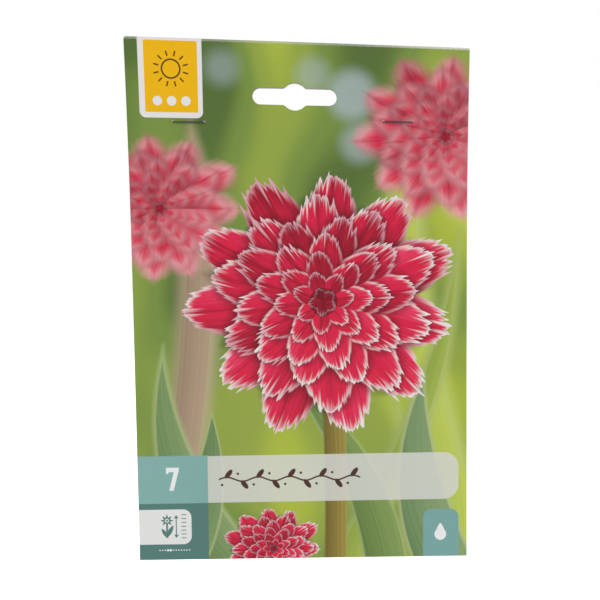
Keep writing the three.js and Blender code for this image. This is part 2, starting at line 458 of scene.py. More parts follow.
def build_petal_ring(given):
    """One ring of petals seen from the front, painted over what lies under it.

    Ring 0 is the outermost. Lengths are shares of the bloom's radius and angles are in turns."""
    ring, seed, radius, detail = (given[name] for name in ("Ring", "Seed", "Radius", "Detail"))
    size = clamped(1.0 - ring / RING_COUNT) ** RING_CROWDING
    count = calculate("ROUND", size**0.35 * OUTER_PETALS)
    turn = given["Turn"] * count + ring * 0.5 + seed
    petal = calculate("WRAP", floor(turn), count, 0.0)
    longer, aside, brighter = chance(petal * 3.7 + ring * 11.3 + seed)
    lean = (fraction(turn) - 0.5 + (aside - 0.5) * 0.14) * (2 * math.pi) / count
    width = size / count * PETAL_BREADTH
    tip = size * ((longer - 0.5) * 0.1 + 1.0)
    along = (radius * cosine(lean) - tip) / (width * PETAL_LENGTH) + 1.0
    side = radius * sine(lean) / width
    own_noise = petal * 31.7 + ring * 5.3 + seed + along * 0.5
    splits = (streaks(side * 7.0 + own_noise) - 0.5) * (detail * 0.6 + 0.4)
    veins = streaks(side * 11.0 - own_noise, 1.0) - 0.5
    narrowing = clamped(1.0 - most(along, 0.0) ** 3.2) ** 0.6
    plain_edge = narrowing - abs(side) - most(along - 1.0, 0.0) * 3.0
    edge = plain_edge + splits * ease(along, 0.62, 1.0)
    lit = petal_light(given, along, side, size, veins * 0.26 * detail + (brighter - 0.5) * 0.16)
    soft = 1.0 - detail
    feather = ease(along + splits * 0.8, 0.85 - soft * 0.3, 1.1)
    margin = ease(edge + splits * 0.2, 0.2 + soft * 0.5, 0.03) * ease(along, 0.35, 0.8)
    fringe = clamped(feather + margin * 0.8) * (1.0 - soft * 0.62)
    fringe_colour = blend(FRINGE_SHADE, FRINGE, ease(lit, 0.2, 0.65))
    petal_colour = blend(ramp(lit, PETAL_STOPS), fringe_colour, fringe)
    shadow = ease(plain_edge, -0.55, 0.2) * (0.62 - soft * 0.25) * clamped(ring)
    under = blend(given["Under"], SHADOW, shadow, "MULTIPLY")
    blur = given["Blur"] / width
    return [blend(under, petal_colour, ease(edge, -blur, blur) * clamped(ring + 1.0))]


PETAL_RING = make_tree(
    "ShaderNodeTree",
    "petal_ring",
    {"Under": WHITE, "Radius": 0.5, "Turn": 0.0, "Ring": 0.0, "Seed": 0.0, "Blur": 0.01, "Detail": 1.0},
    {"Colour": WHITE},
    build_petal_ring,
)


def nearest_bloom(x, z, blooms):
    """A point's place in the nearer of two blooms: share of the radius, turn, and 0 or 1 for which it is."""
    offsets = [
        ((x - centre_x) / size, (z - centre_z) / (size * squash))
        for centre_x, centre_z, size, squash in blooms
    ]
    first, second = (hypotenuse(*offset) for offset in offsets)
    which = calculate("LESS_THAN", second, first)
    off_x, off_z = (a + (b - a) * which for a, b in zip(*offsets))
    turn = calculate("ARCTAN2", off_z, off_x) / (2 * math.pi) + 0.5
    sway = sine(turn * (6 * math.pi)) * 0.02 + sine(turn * (10 * math.pi)) * 0.012
    return least(second, first) * (sway + 1.0), turn, which


def paint_blooms(under, x, z, blooms, blur, detail):
    """Two blooms that don't overlap. Only the rings whose tips lie near a point are painted there."""
    radius, turn, which = nearest_bloom(x, z, blooms)
    ring = floor((1.0 - clamped(radius) ** (1 / RING_CROWDING)) * RING_COUNT)
    look = dict(Radius=radius, Turn=turn, Seed=which * 1.63 + 0.37, Blur=blur, Detail=detail)
    for step in (-2.0, -1.0, 0.0, 1.0):
        under = use(PETAL_RING, tree_of(x), Under=under, Ring=ring + step, **look)
    return under


RIM_COLOUR = colour("D2DC9C")


def build_leaf_blade(given):
    """A long soft leaf or stem, painted over what lies under it."""
    x = given["X"] - given["Foot X"]
    z = given["Z"] - given["Foot Z"]
    run_x, run_z, blur = given["Run X"], given["Run Z"], given["Blur"]
    length = hypotenuse(run_x, run_z)
    onward = (x * run_x + z * run_z) / length
    along = clamped(onward / length)
    bow = along * (1.0 - along) * 4.0 * given["Bow"]
    across = (x * run_z - z * run_x) / length - bow
    half = given["Width"] * (1.0 - along ** given["Taper"])
    edge = half - hypotenuse(across, most(onward - length, 0.0))
    side = clamped(across / given["Width"] * 0.5 + 0.5)
    streak = streaks(across * 1.2 + along * 2.0 + given["Foot X"])
    tone = clamped(side * 0.75 + (streak - 0.5) * 0.5 + 0.1)
    rim = ease(edge, blur * 0.9 + 0.45, blur * 0.5) * given["Rim"]
    made = blend(blend(given["Dark"], given["Pale"], tone), RIM_COLOUR, rim)
    return [blend(given["Under"], made, ease(edge, -blur, blur))]


# A leaf or stem is given by these sizes, in millimetres apart from taper and rim, and two colours
BLADE_SIZES = {
    "Foot X": 0.0,
    "Foot Z": 0.0,
    "Run X": 0.0,
    "Run Z": 100.0,
    "Width": 6.0,
    "Bow": 0.0,
    "Taper": 2.0,
    "Blur": 1.0,
    "Rim": 0.5,
}
LEAF_BLADE = make_tree(
    "ShaderNodeTree",
    "leaf_blade",
    {"Under": WHITE, "X": 0.0, "Z": 0.0, **BLADE_SIZES, "Dark": WHITE, "Pale": WHITE},
    {"Colour": WHITE},
    build_leaf_blade,
)

# Leaves and stems behind the blooms, from the furthest
GARDEN_BLADES = [
    (-52, 20, 10, 150, 8, 6, 6, 3.6, 0.2, "97806A", "CBB294"),
    (56, 30, -12, 150, 12, -10, 3, 4.5, 0.3, "A6BE3C", "D8E46C"),
    (22, 10, 40, 120, 6, 8, 3, 2.6, 0.3, "88A240", "BCCE5C"),
    (-20, -10, -34, 96, 11, -12, 2, 1.5, 0.5, "5F8248", "9CB57A"),
    (34, -14, -44, 90, 9, 10, 2, 0.9, 0.4, "5C7C3C", "98B264"),
    (60, -10, -12, 84, 12, -8, 2, 1.2, 0.6, "648654", "A0BA84"),
    (-60, -14, 24, 74, 11, 8, 2, 0.6, 0.6, "507446", "92AE72"),
    (12, -12, -3, 110, 4.4, 2, 14, 0.35, 0.1, "6D5C1E", "B5A24C"),
]

GARDEN_STOPS = [(0.0, "5C7638"), (0.25, "7F9A46"), (0.5, "9EB24A"), (0.75, "B8C845"), (1.0, "D4E068")]

# Soft round lights far behind: centre, radius and share of the pale colour
GARDEN_LIGHTS = [(4, 188, 6, 0.5), (19, 181, 9, 0.75), (22, 163, 7, 0.6), (-30, 190, 6, 0.45)]
PALE_LIGHT = colour("B4C6C8")
LIGHT_BLUR = 4.0

# Blooms: centre, radius and height for its width
SOFT_BLOOMS = [(56, 166, 35, 0.9), (-54, 138, 31, 0.9)]
SHARP_BLOOMS = [(8, 102, 52, 0.98), (-12, 4, 19, 0.9)]


def paint_garden(x, z):
    """Blurred greenery, darker at its foot and brighter to the right."""
    broad = cloud(vector(x, z * 0.55), 0.022, 1.0, 0.4, "2D")
    light = x * 0.0034 - z * 0.0004 + (broad - 0.5) * 1.5 + 0.42
    made = ramp(light, GARDEN_STOPS)
    for centre_x, centre_z, radius, share in GARDEN_LIGHTS:
        edge = disc_edge(x, z, (centre_x, centre_z), radius)
        made = blend(made, PALE_LIGHT, ease(edge, -LIGHT_BLUR, LIGHT_BLUR) * share)
    for *sizes, dark, pale in GARDEN_BLADES:
        shape = {name.replace(" ", "_"): float(size) for name, size in zip(BLADE_SIZES, sizes)}
        ends = dict(Dark=colour(dark), Pale=colour(pale))
        made = use(LEAF_BLADE, tree_of(x), Under=made, X=x, Z=z, **shape, **ends)
    return made


def paint_flowers(x, z):
    """The print's picture: red blooms with feathery pale tips in a garden."""
    made = paint_garden(x, z)
    made = paint_blooms(made, x, z, SOFT_BLOOMS, 0.12, 0.0)
    return paint_blooms(made, x, z, SHARP_BLOOMS, 0.008, 1.0)


# Print: edges of plain figures, each a depth in millimetres that is positive inside the figure

CRISP = 0.16


def inside(edge):
    """A crisp mask of a figure."""
    return clamped(edge / CRISP + 0.5)


def panel_edge(x, z, left, right, low, high, radius):
    """A panel with round corners."""
    over_x = abs(x - (left + right) / 2) - ((right - left) / 2 - radius)
    over_z = abs(z - (low + high) / 2) - ((high - low) / 2 - radius)
    outside = hypotenuse(most(over_x, 0.0), most(over_z, 0.0))
    return radius - outside - least(most(over_x, over_z), 0.0)


def disc_edge(x, z, centre, radius):
    return radius - hypotenuse(x - centre[0], z - centre[1])


def stroke_edge(x, z, start, end, half):
    """A straight stroke with round ends."""
    run_x, run_z = end[0] - start[0], end[1] - start[1]
    off_x = x - start[0]
    off_z = z - start[1]
    along = clamped((off_x * run_x + off_z * run_z) / (run_x * run_x + run_z * run_z))
    return half - hypotenuse(off_x - along * run_x, off_z - along * run_z)


def leaf_edge(x, z, foot, tip, half):
    """A leaf that is pointed at both ends, and half wide at its middle."""
    run = math.dist(foot, tip)
    run_x, run_z = tip[0] - foot[0], tip[1] - foot[1]
    off_x = x - foot[0]
    off_z = z - foot[1]
    across = (off_x * run_z - off_z * run_x) / run
    along = (off_x * run_x + off_z * run_z) / (run * run)
    return along * (1.0 - along) * (4 * half) - abs(across)


def spokes(x, z, centre, count, phase=0.0):
    """A point's distance from a centre, and from the nearest of evenly spread spokes."""
    off_x = x - centre[0]
    off_z = z - centre[1]
    distance = hypotenuse(off_x, off_z)
    turn = calculate("ARCTAN2", off_z, off_x) * (count / (2 * math.pi)) + count + phase
    angle = (fraction(turn) - 0.5) * (2 * math.pi / count)
    return distance, abs(distance * sine(angle))


def union(*edges):
    joined = edges[0]
    for edge in edges[1:]:
        joined = most(joined, edge)
    return joined


# Print: panels and signs

# Panels, in millimetres from the card's centre line and bottom edge
SHEET_EDGE = CARD_WIDTH
HEADER = dict(left=-60.3, right=-37.2, low=171.5, high=230, radius=2.3)
EMBLEM = dict(left=-58.2, right=-38.9, low=173.5, high=198.9, radius=0.5)
COUNT_BLOCK = dict(left=-SHEET_EDGE, right=-37.7, low=22.9, high=42.1, radius=0.1)
SIGN_BLOCK = dict(left=-SHEET_EDGE, right=-37.7, low=-SHEET_EDGE, high=22.9, radius=0.1)
SIGN_TAB = dict(left=-SHEET_EDGE, right=-44.4, low=6.3, high=20.5, radius=3.3)
NAME_STRIP = dict(left=-60, right=61.7, low=23.0, high=41.8, radius=6)
DROP_TAB = dict(left=47.5, right=61.7, low=-SHEET_EDGE, high=19.0, radius=3.3)

STRIP_WHITE = colour("E8E9E2")
STRIP_SHARE = 0.8
PAPER_WHITE = colour("F5F6F4")
HEADER_WHITE = colour("F6F4F3")
SIGN_WHITE = colour("FDFFFF")
TEAL = colour("5A8780")
TAB_TEAL = colour("82B3AE")
PALE_TEAL = colour("7FB4AF")
LIT_TEAL = colour("90BEB8")
BROWN = colour("50302A")
YELLOW = colour("FFC300")
BRONZE = colour("5C4310")

# Sun: its centre, its ring, where its rays lie, and the three dots under it
SUN = (-48.55, 189.0)
SUN_RAYS = 12
SUN_RING = 3.3
RAY_MIDDLE = 5.5
SUN_DOTS = [(SUN[0] + step, 177.6) for step in (-5.2, 0, 5.2)]
SUN_DOT_RADIUS = 1.7

# Seven
SEVEN_LEFT = -54.0
SEVEN_RIGHT = -49.0
SEVEN_TOP = 37.4
SEVEN_FOOT = 28.1

# Flower, with the arrow and the ruler of its height
FLOWER = (-54.0, 16.0)
FLOWER_RADIUS = 2.35
STEM_FOOT = (-54.1, 10.0)
ARROW_X = -50.4
ARROW_LOW = 8.9
ARROW_HIGH = 18.2
ARROW_HEAD = 1.3
RULER_X = -47.4
RULER_PITCH = 1.57
RULER_MIDDLE = 13.6

# Row of months, with two of them chosen
MONTH_PITCH = 1.06
FIRST_MONTH_X = -57.0
MONTHS_Z = 3.9
CHOSEN_MONTHS = 3.5
MONTHS_MIDDLE = 5.5

# Sprig of leaves
VINE_START = -33.4
VINE_END = 22.4
VINE_Z = 32.3
VINE_PITCH = 6.2

# Water drop
DROP = (54.4, 8.9)
DROP_RADIUS = 2.35


def sun_sign(x, z):
    distance, beside = spokes(x, z, SUN, SUN_RAYS)
    ray = least(0.28 - beside, 0.95 - abs(distance - RAY_MIDDLE))
    return union(0.3 - abs(distance - SUN_RING), ray)


def numeral_seven(x, z):
    bar = panel_edge(x, z, SEVEN_LEFT, SEVEN_RIGHT, SEVEN_TOP - 1.8, SEVEN_TOP, 0.15)
    serif = panel_edge(x, z, SEVEN_LEFT, SEVEN_LEFT + 0.9, SEVEN_TOP - 2.5, SEVEN_TOP, 0.15)
    leg = stroke_edge(x, z, (SEVEN_RIGHT - 0.85, 36.5), (SEVEN_RIGHT - 3.15, 27.5), 0.85)
    return union(bar, serif, least(least(leg, SEVEN_TOP - z), z - SEVEN_FOOT))


def flower_sign(x, z):
    distance, beside = spokes(x, z, FLOWER, 8, 0.5)
    petals = least(0.75 - distance * 0.25 - beside, FLOWER_RADIUS - distance)
    petals = union(petals, 1.35 - distance)
    eye_ring = abs(distance - 0.62) - 0.2
    stem = stroke_edge(x, z, (FLOWER[0], 14.4), STEM_FOOT, 0.34)
    left_leaf = leaf_edge(x, z, (-53.6, 8.8), (-56.2, 12.8), 0.75)
    right_leaf = leaf_edge(x, z, (-54.5, 8.8), (-51.5, 14.1), 0.85)
    return union(least(petals, eye_ring), stem, left_leaf, right_leaf)


def height_sign(x, z):
    shaft = stroke_edge(x, z, (ARROW_X, ARROW_LOW + 1.1), (ARROW_X, ARROW_HIGH - 1.0), 0.2)
    heads = []
    for tip, way in ((ARROW_LOW, -1.0), (ARROW_HIGH, 1.0)):
        drop = (tip - z) * way
        heads.append(least(drop * 0.75 - abs(x - ARROW_X), ARROW_HEAD - drop))
    tick = (fraction((z - ARROW_LOW) / RULER_PITCH + 0.5) - 0.5) * RULER_PITCH
    ticks = least(0.17 - abs(tick), 0.95 - abs(x - RULER_X))
    ticks = least(ticks, 4.9 - abs(z - RULER_MIDDLE))
    return union(shaft, ticks, *heads)


def month_dots(x, z):
    place_in_row = (x - FIRST_MONTH_X) / MONTH_PITCH + 0.5
    month = floor(place_in_row)
    off_x = (fraction(place_in_row) - 0.5) * MONTH_PITCH
    chosen = 1.0 - clamped(abs(month - CHOSEN_MONTHS) - 0.5)
    dots = chosen * 0.2 + 0.27 - hypotenuse(off_x, z - MONTHS_Z)
    return least(dots, MONTHS_MIDDLE + 0.1 - abs(month - MONTHS_MIDDLE))


def vine(x, z):
    """A winding sprig with leaves and berries by turns above and below it."""
    step = (x - VINE_START) / VINE_PITCH
    rise = z - VINE_Z
    line = 0.3 - abs(rise - sine(step * math.pi) * 0.85) * 0.9
    side = calculate("MODULO", floor(step), 2.0) * -2.0 + 1.0
    off_x = (fraction(step) - 0.62) * VINE_PITCH
    off_z = rise * side - 2.15
    leaf_x = off_x * 0.62 + off_z * 0.78
    leaf_z = off_z * 0.62 - off_x * 0.78
    leaf = 0.95 - calculate("SQRT", leaf_x * leaf_x * 0.2 + leaf_z * leaf_z)
    berry = 0.5 - hypotenuse((fraction(step) - 0.2) * VINE_PITCH, rise * side + 2.2)
    whole = (VINE_END - VINE_START) / 2 - abs(x - (VINE_START + VINE_END) / 2)
    return least(union(line, leaf, berry), whole)


def drop_sign(x, z):
    """A water drop: a disc whose upper half narrows to a point."""
    off_z = z - DROP[1]
    width = DROP_RADIUS * (1.0 - clamped(off_z / 4.6)) ** 0.75
    upper = least(width - abs(x - DROP[0]), least(off_z + 0.01, 4.4 - off_z))
    return union(disc_edge(x, z, DROP, DROP_RADIUS), upper)


def paint_print(x, z):
    """The printed front: the picture under its panels, strips and signs."""
    made = paint_flowers(x, z)
    made = blend(made, STRIP_WHITE, inside(panel_edge(x, z, **NAME_STRIP)) * STRIP_SHARE)
    made = blend(made, BROWN, inside(vine(x, z)))
    # painted highlight: the count block is lighter towards the card's left edge
    highlit_teal = blend(LIT_TEAL, PALE_TEAL, clamped((x + CARD_WIDTH / 2) / 70.0))
    made = blend(made, highlit_teal, inside(panel_edge(x, z, **COUNT_BLOCK)))
    made = blend(made, TEAL, inside(panel_edge(x, z, **SIGN_BLOCK)))
    made = blend(made, TAB_TEAL, inside(panel_edge(x, z, **DROP_TAB)))
    made = blend(made, PAPER_WHITE, inside(panel_edge(x, z, **SIGN_TAB)))
    made = blend(made, TEAL, inside(union(flower_sign(x, z), height_sign(x, z))))
    white_signs = union(numeral_seven(x, z), month_dots(x, z), drop_sign(x, z))
    made = blend(made, SIGN_WHITE, inside(white_signs))
    made = blend(made, HEADER_WHITE, inside(panel_edge(x, z, **HEADER)))
    made = blend(made, YELLOW, inside(panel_edge(x, z, **EMBLEM)))
    made = blend(made, BRONZE, inside(sun_sign(x, z)))
    dots = union(*[disc_edge(x, z, centre, SUN_DOT_RADIUS) for centre in SUN_DOTS])
    return blend(made, PAPER_WHITE, inside(dots))


# Materials


def build_grain(given):
    """Fine noise over a surface, with the roughness and the relief that follow it."""
    grain = cloud(given["Place"], given["Scale"], given["Detail"], given["Raggedness"])
    roughness = ease(grain, 0.3, 0.7, given["Smooth"], given["Rough"])
    return [grain, roughness, bump(grain, given["Relief"], given["Depth"])]


GRAIN = make_tree(
    "ShaderNodeTree",
    "grain",
    {
        "Place": (0.0, 0.0, 0.0),
        "Scale": 1.0,
        "Detail": 4.0,
        "Raggedness": 0.6,
        "Smooth": 0.3,
        "Rough": 0.6,
        "Relief": 0.25,
        "Depth": 0.0001,
    },
    {"Grain": 0.0, "Roughness": 0.0, "Normal": (0.0, 0.0, 0.0)},
    build_grain,
)


def new_material(name):
    """A material with one Principled BSDF, and its node tree and shader."""
    material = bpy.data.materials.new(name)
    material.use_nodes = True
    tree = material.node_tree
    return material, tree, tree.nodes["Principled BSDF"]


def object_place(tree, scale=1 / MM, shift=(0, 0, 0)):
    """Object coordinates, by default in millimetres."""
    where = out(node_in(tree, "ShaderNodeTexCoord"), "Object")
    mapping = node_in(tree, "ShaderNodeMapping", Vector=where, Location=shift, Scale=(scale,) * 3)
    return out(mapping)


# Wear of the print, with painted highlights: a pale line along the fold, partly wear and partly a painted
# highlight, and pale puckers with a painted glint where the staples' legs push through
FOLD_WEAR_AND_HIGHLIGHT = colour("F4EEEC")
PUCKER_AND_GLINT = colour("EFE9E6")
PUCKER_GLINT_RADIUS = 0.62
PUCKER_GLINT_RAISED = 0.15


def wear_and_highlights_on_print(made, x, z):
    patches = cloud(vector(x * 0.9, z * 3.0), 1.0, 3.0, 0.6, "2D")
    # painted highlight along the fold, partly real wear of the coating, made stronger towards the right
    worn = ease(z + (patches - 0.5) * 0.7, CARD_HEIGHT - 1.2, CARD_HEIGHT - 0.75)
    made = blend(made, FOLD_WEAR_AND_HIGHLIGHT, worn * ease(x, 10.0, 62.0, 0.3, 0.8))
    # pale puckers where the staples' legs push through, each with a painted glint
    for _, staple_x, staple_z in STAPLES:
        from_leg = abs(abs(x - staple_x) - LEG_ASIDE)
        edge = disc_edge(from_leg, z, (0.0, staple_z + PUCKER_GLINT_RAISED), PUCKER_GLINT_RADIUS)
        made = blend(made, PUCKER_AND_GLINT, ease(edge, 0.0, 0.3) * 0.6)
    return made


def print_material():
    material, tree, shader = new_material("printed_card_front")
    where = object_place(tree, shift=(ORIGIN[0], 0, ORIGIN[2]))
    x, _, z = parts(where)
    made = wear_and_highlights_on_print(paint_print(x, z), x, z)
    gloss = cloud(where, 0.05, 0.0) * 0.06 + 0.28
    grain = dict(Place=where, Scale=0.3, Detail=1.0, Raggedness=0.5, Relief=0.3, Depth=0.00005)
    _, _, normal = use(GRAIN, tree, **grain)
    fill(shader, Base_Color=made, Roughness=gloss, Normal=normal)
    fill(shader, Specular_IOR_Level=0.3, Coat_Weight=0.06, Coat_Roughness=0.12)
    return material


def board_material(name, dark, pale, scale):
    """Bare board, with its fibres at a scale."""
    material, tree, shader = new_material(name)
    look = dict(Scale=scale, Detail=4.0, Raggedness=0.6, Smooth=0.6, Rough=0.75, Relief=0.25, Depth=0.0001)
    fibre, roughness, normal = use(GRAIN, tree, Place=object_place(tree), **look)
    made = blend(colour(dark), colour(pale), ease(fibre, 0.3, 0.7))
    fill(shader, Base_Color=made, Roughness=roughness, Normal=normal)
    return material


def steel_material():
    material, tree, shader = new_material("staple_steel")
    look = dict(Scale=6.0, Detail=3.0, Raggedness=0.6, Smooth=0.24, Rough=0.42, Relief=0.2, Depth=0.00003)
    scuff, roughness, normal = use(GRAIN, tree, Place=object_place(tree), **look)
    made = blend(colour("3E3D3F"), colour("7B7A7C"), scuff)
    fill(shader, Base_Color=made, Roughness=roughness, Normal=normal, Metallic=1.0)
    return material


def own_place(tree, stretch):
    """A bulb's own place, in millimetres, squeezed along its height so that noise runs as fibres."""
    node = node_in(tree, "ShaderNodeAttribute", {"attribute_name": "own_place"})
    x, y, z = parts(out(node, "Vector"))
    return vector(x, y, z * stretch)


SKIN_STOPS = [(0.2, "3C1D0C"), (0.45, "6E3B1A"), (0.62, "96592B"), (0.85, "C79560")]


def skin_material():
    material, tree, shader = new_material("bulb_papery_skin")
    look = dict(Scale=1.1, Detail=4.0, Raggedness=0.6, Smooth=0.38, Rough=0.6, Relief=0.5, Depth=0.0003)
    fibre, roughness, normal = use(GRAIN, tree, Place=own_place(tree, 0.08), **look)
    patch = cloud(own_place(tree, 0.5), 0.12, 3.0, 0.55)
    made = ramp((fibre - 0.5) * 1.2 + (patch - 0.5) * 1.1 + 0.5, SKIN_STOPS)
    fill(shader, Base_Color=made, Roughness=roughness, Normal=normal)
    return material


def flesh_material():
    material, tree, shader = new_material("bulb_flesh")
    look = dict(Scale=0.7, Detail=3.0, Raggedness=0.5, Smooth=0.4, Rough=0.55, Relief=0.25, Depth=0.0002)
    fibre, roughness, normal = use(GRAIN, tree, Place=own_place(tree, 0.1), **look)
    tint = cloud(own_place(tree, 0.6), 0.15, 2.0)
    made = blend(colour("E9DDBE"), colour("D2BE8C"), fibre)
    made = blend(made, colour("B98A62"), ease(tint, 0.5, 0.75) * 0.7)
    fill(shader, Base_Color=made, Roughness=roughness, Normal=normal)
    return material


def root_material():
    material, tree, shader = new_material("bulb_dry_roots")
    look = dict(Scale=1.6, Detail=3.0, Raggedness=0.5, Relief=0.4, Depth=0.0002)
    fibre, _, normal = use(GRAIN, tree, Place=own_place(tree, 1.0), **look)
    fill(shader, Base_Color=blend(colour("5A4128"), colour("A5875A"), fibre), Roughness=0.8, Normal=normal)
    return material


def film_material():
    """Clear crinkled film that lets light straight through to what lies in its shadow."""
    material, tree, shader = new_material("clear_bag_film")
    where = object_place(tree)
    crinkle = cloud(where, 0.16, 3.0, 0.55, distortion=0.6)
    fine = cloud(where, 0.7, 2.0)
    height = parts(where)[2] + SLOT_Z
    weld = ease(height, SEAL_TOP + 0.3, SEAL_TOP - 0.3)
    ribs = sine(height * (2 * math.pi / WELD_RIB))
    dullness = ease(fine, 0.3, 0.8, 0.02, 0.07) + weld * 0.25
    fill(shader, Roughness=dullness, Normal=bump(crinkle + weld * ribs * 0.5, 0.25, 0.0006))
    fill(shader, Base_Color=colour("FDFEFE"), Transmission_Weight=1.0, IOR=1.45)
    path = node_in(tree, "ShaderNodeLightPath")
    clear = node_in(tree, "ShaderNodeBsdfTransparent")
    mix = node_in(tree, "ShaderNodeMixShader")
    for socket, node, name in zip(mix.inputs, (path, shader, clear), ("Is Shadow Ray", 0, 0)):
        feed(socket, out(node, name))
    feed(tree.nodes["Material Output"].inputs["Surface"], out(mix))
    return material


# Sheets and paths


def show(name, data):
    piece = bpy.data.objects.new(name, data)
    bpy.context.scene.collection.objects.link(piece)
    return piece


def link(name, points, faces, materials, face_materials=None):
    """A mesh object from points in the frame, in metres."""
    mesh = bpy.data.meshes.new(name)
    mesh.from_pydata([tuple(p) for p in points], [], faces)
    for material in materials:
        mesh.materials.append(material)
    if face_materials is not None:
        mesh.polygons.foreach_set("material_index", face_materials)
    mesh.shade_smooth()
    return show(name, mesh)


def mesh_points(mesh):
    points = np.empty(len(mesh.vertices) * 3, np.float32)
    mesh.vertices.foreach_get("co", points)
    return points.reshape(-1, 3).astype(float)


def arc(centre, radius, start, end, steps):
    """Points of an arc, its last one left out."""
    turns = np.linspace(start, end, steps, endpoint=False)
    return [(centre[0] + radius * math.cos(t), centre[1] + radius * math.sin(t)) for t in turns]


def bent_path(corners, radius, steps=6):
    """A path through the corners, each of them rounded."""
    corners = [Vector(c) for c in corners]
    path = [corners[0]]
    for before, corner, after in zip(corners, corners[1:], corners[2:]):
        start = corner + (before - corner).normalized() * radius
        end = corner + (after - corner).normalized() * radius
        for i in range(steps + 1):
            t = i / steps
            path.append(start * (1 - t) ** 2 + corner * 2 * t * (1 - t) + end * t**2)
    return path + [corners[-1]]


def sheet_grid(columns, rows):
    """A flat sheet's outline, counterclockwise, and the points of its grid inside it."""
    outline = [(x, rows[0]) for x in columns[:-1]] + [(columns[-1], s) for s in rows[:-1]]
    outline += [(x, rows[-1]) for x in columns[:0:-1]] + [(columns[0], s) for s in rows[:0:-1]]
    return outline, [(x, s) for x in columns[1:-1] for s in rows[1:-1]]


def slot_loop(centre_x, centre_z):
    """The hanging slot's outline, counterclockwise."""
    end = SLOT_WIDTH / 2
    straight = SLOT_LENGTH / 2 - end
    fillet_z = end + SLOT_FILLET
    reach = SLOT_BUMP_RADIUS + SLOT_FILLET
    fillet_x = math.sqrt(reach**2 - fillet_z**2)
    meet = math.atan2(fillet_z, fillet_x)
    half = math.pi / 2
    runs = [
        ((straight, 0), end, -half, half, 14),
        ((fillet_x, fillet_z), SLOT_FILLET, -half, meet - math.pi, 5),
        ((0, 0), SLOT_BUMP_RADIUS, meet, math.pi - meet, 14),
        ((-fillet_x, fillet_z), SLOT_FILLET, -meet, -half, 5),
        ((-straight, 0), end, half, 3 * half, 14),
        ((-fillet_x, -fillet_z), SLOT_FILLET, half, meet, 5),
        ((0, 0), SLOT_BUMP_RADIUS, math.pi + meet, 2 * math.pi - meet, 14),
        ((fillet_x, -fillet_z), SLOT_FILLET, math.pi - meet, half, 5),
    ]
    return [(centre_x + x, centre_z + z) for run in runs for x, z in arc(*run)]


def legs_of(staple_x):
    return staple_x - LEG_ASIDE, staple_x + LEG_ASIDE


SQUARE = ((-1, -1), (1, -1), (1, 1), (-1, 1))


def puncture(x, z):
    """The square hole that a staple's leg makes, counterclockwise."""
    reach = PUNCTURE / 2
    return [(x + i * reach, z + j * reach) for i, j in SQUARE]


def within(points, loop):
    """Which of the points lie inside a closed loop."""
    x, z = np.asarray(points, float).T[:, :, None]
    x0, z0 = np.asarray(loop, float).T[:, None, :]
    x1, z1 = np.roll(x0, -1), np.roll(z0, -1)
    crossed = (z0 > z) != (z1 > z)
    reach = x0 + (z - z0) / np.where(z1 == z0, 1, z1 - z0) * (x1 - x0)
    return (crossed & (x < reach)).sum(1) % 2 == 1


def gap_to(points, loop):
    """Each point's distance from the nearest side of a loop."""
    points = np.asarray(points, float)[:, None, :]
    start = np.asarray(loop, float)[None]
    run = np.roll(start, -1, axis=1) - start
    along = np.clip(((points - start) * run).sum(2) / (run**2).sum(2), 0, 1)[..., None]
    return np.linalg.norm(points - start - along * run, axis=2).min(1)


def cut_sheet(outline, holes, inner_points, clearance):
    """Triangles of a flat sheet with holes: its points and its triangles, counterclockwise."""
    kept = np.asarray(inner_points, float)
    kept = kept[gap_to(kept, outline) > clearance]
    for hole in holes:
        near = abs(kept - np.mean(hole, axis=0)).max(1) < np.ptp(hole, axis=0).max() + 2 * clearance
        clear = np.ones(len(kept), bool)
        clear[near] = (gap_to(kept[near], hole) > clearance) & ~within(kept[near], hole)
        kept = kept[clear]
    points, edges = [tuple(p) for p in kept], []
    for loop in [outline, *holes]:
        first = len(points)
        points += loop
        edges += [(first + i, first + (i + 1) % len(loop)) for i in range(len(loop))]
    corners = [Vector(p) for p in points]
    made, _, faces, *_ = geometry.delaunay_2d_cdt(corners, edges, [], 1, 1e-6, False)
    made = np.array([tuple(p) for p in made])
    triangles = np.array([list(face) for face in faces])
    middles = made[triangles].mean(1)
    for hole in holes:
        outside = ~within(middles, hole)
        triangles, middles = triangles[outside], middles[outside]
    return made, triangles.tolist()


def thicken(triangles, count, open_sides=()):
    """The faces of a closed slab: count outer points, then as many inner ones. Open sides get no wall."""
    directed = {(t[i], t[(i + 1) % 3]) for t in triangles for i in range(3)}
    rim = sorted((a, b) for a, b in directed if (b, a) not in directed)
    walls = [(b, a, a + count, b + count) for a, b in rim if not {a, b} <= set(open_sides)]
    inner = [[i + count for i in reversed(t)] for t in triangles]
    return triangles + inner + walls


# Card, unrolled: x across, and the length s from the front's bottom edge over the fold and down the flap

CARD_GRID = 5
FRONT_STEPS = 40
FOLD_STEPS = 8
FLAP_STEPS = 9
EDGE_ROOM = 0.6
SHOULDER = CARD_HEIGHT - FOLDED / 2
FOLD_LENGTH = math.pi * FOLDED / 2
FOLD_MIDDLE = SHOULDER + FOLD_LENGTH / 2 + 0.01
SHEET_LENGTH = SHOULDER + FOLD_LENGTH + SHOULDER - (CARD_HEIGHT - FLAP_LENGTH)
CORNER_WEAR = 1.1
WEAR_REACH = 6
SHARP = math.radians(40)

# Dent along each staple, and the finer rows and columns of points that carry it
DENT = 0.13
DENT_REACH = 1.6
DENT_COLUMNS = np.arange(-8.25, 8.5, 1.5)
DENT_ROWS = (-3, -1.8, -0.9, 0, 0.9, 1.8, 3)

# Shares of the baked picture: the front's size, the small islands' size, and where each of them starts
FRONT_SHARE = 0.64
SMALL_SHARE = 0.34
MARGIN = 0.005
SMALL_START = 0.66
FLAP_START = 0.66
WALL_START = 0.94
WALL_SHARE = 0.04


def on_flap(z):
    """The place along the sheet of a height on the flap."""
    return SHOULDER + FOLD_LENGTH + SHOULDER - z


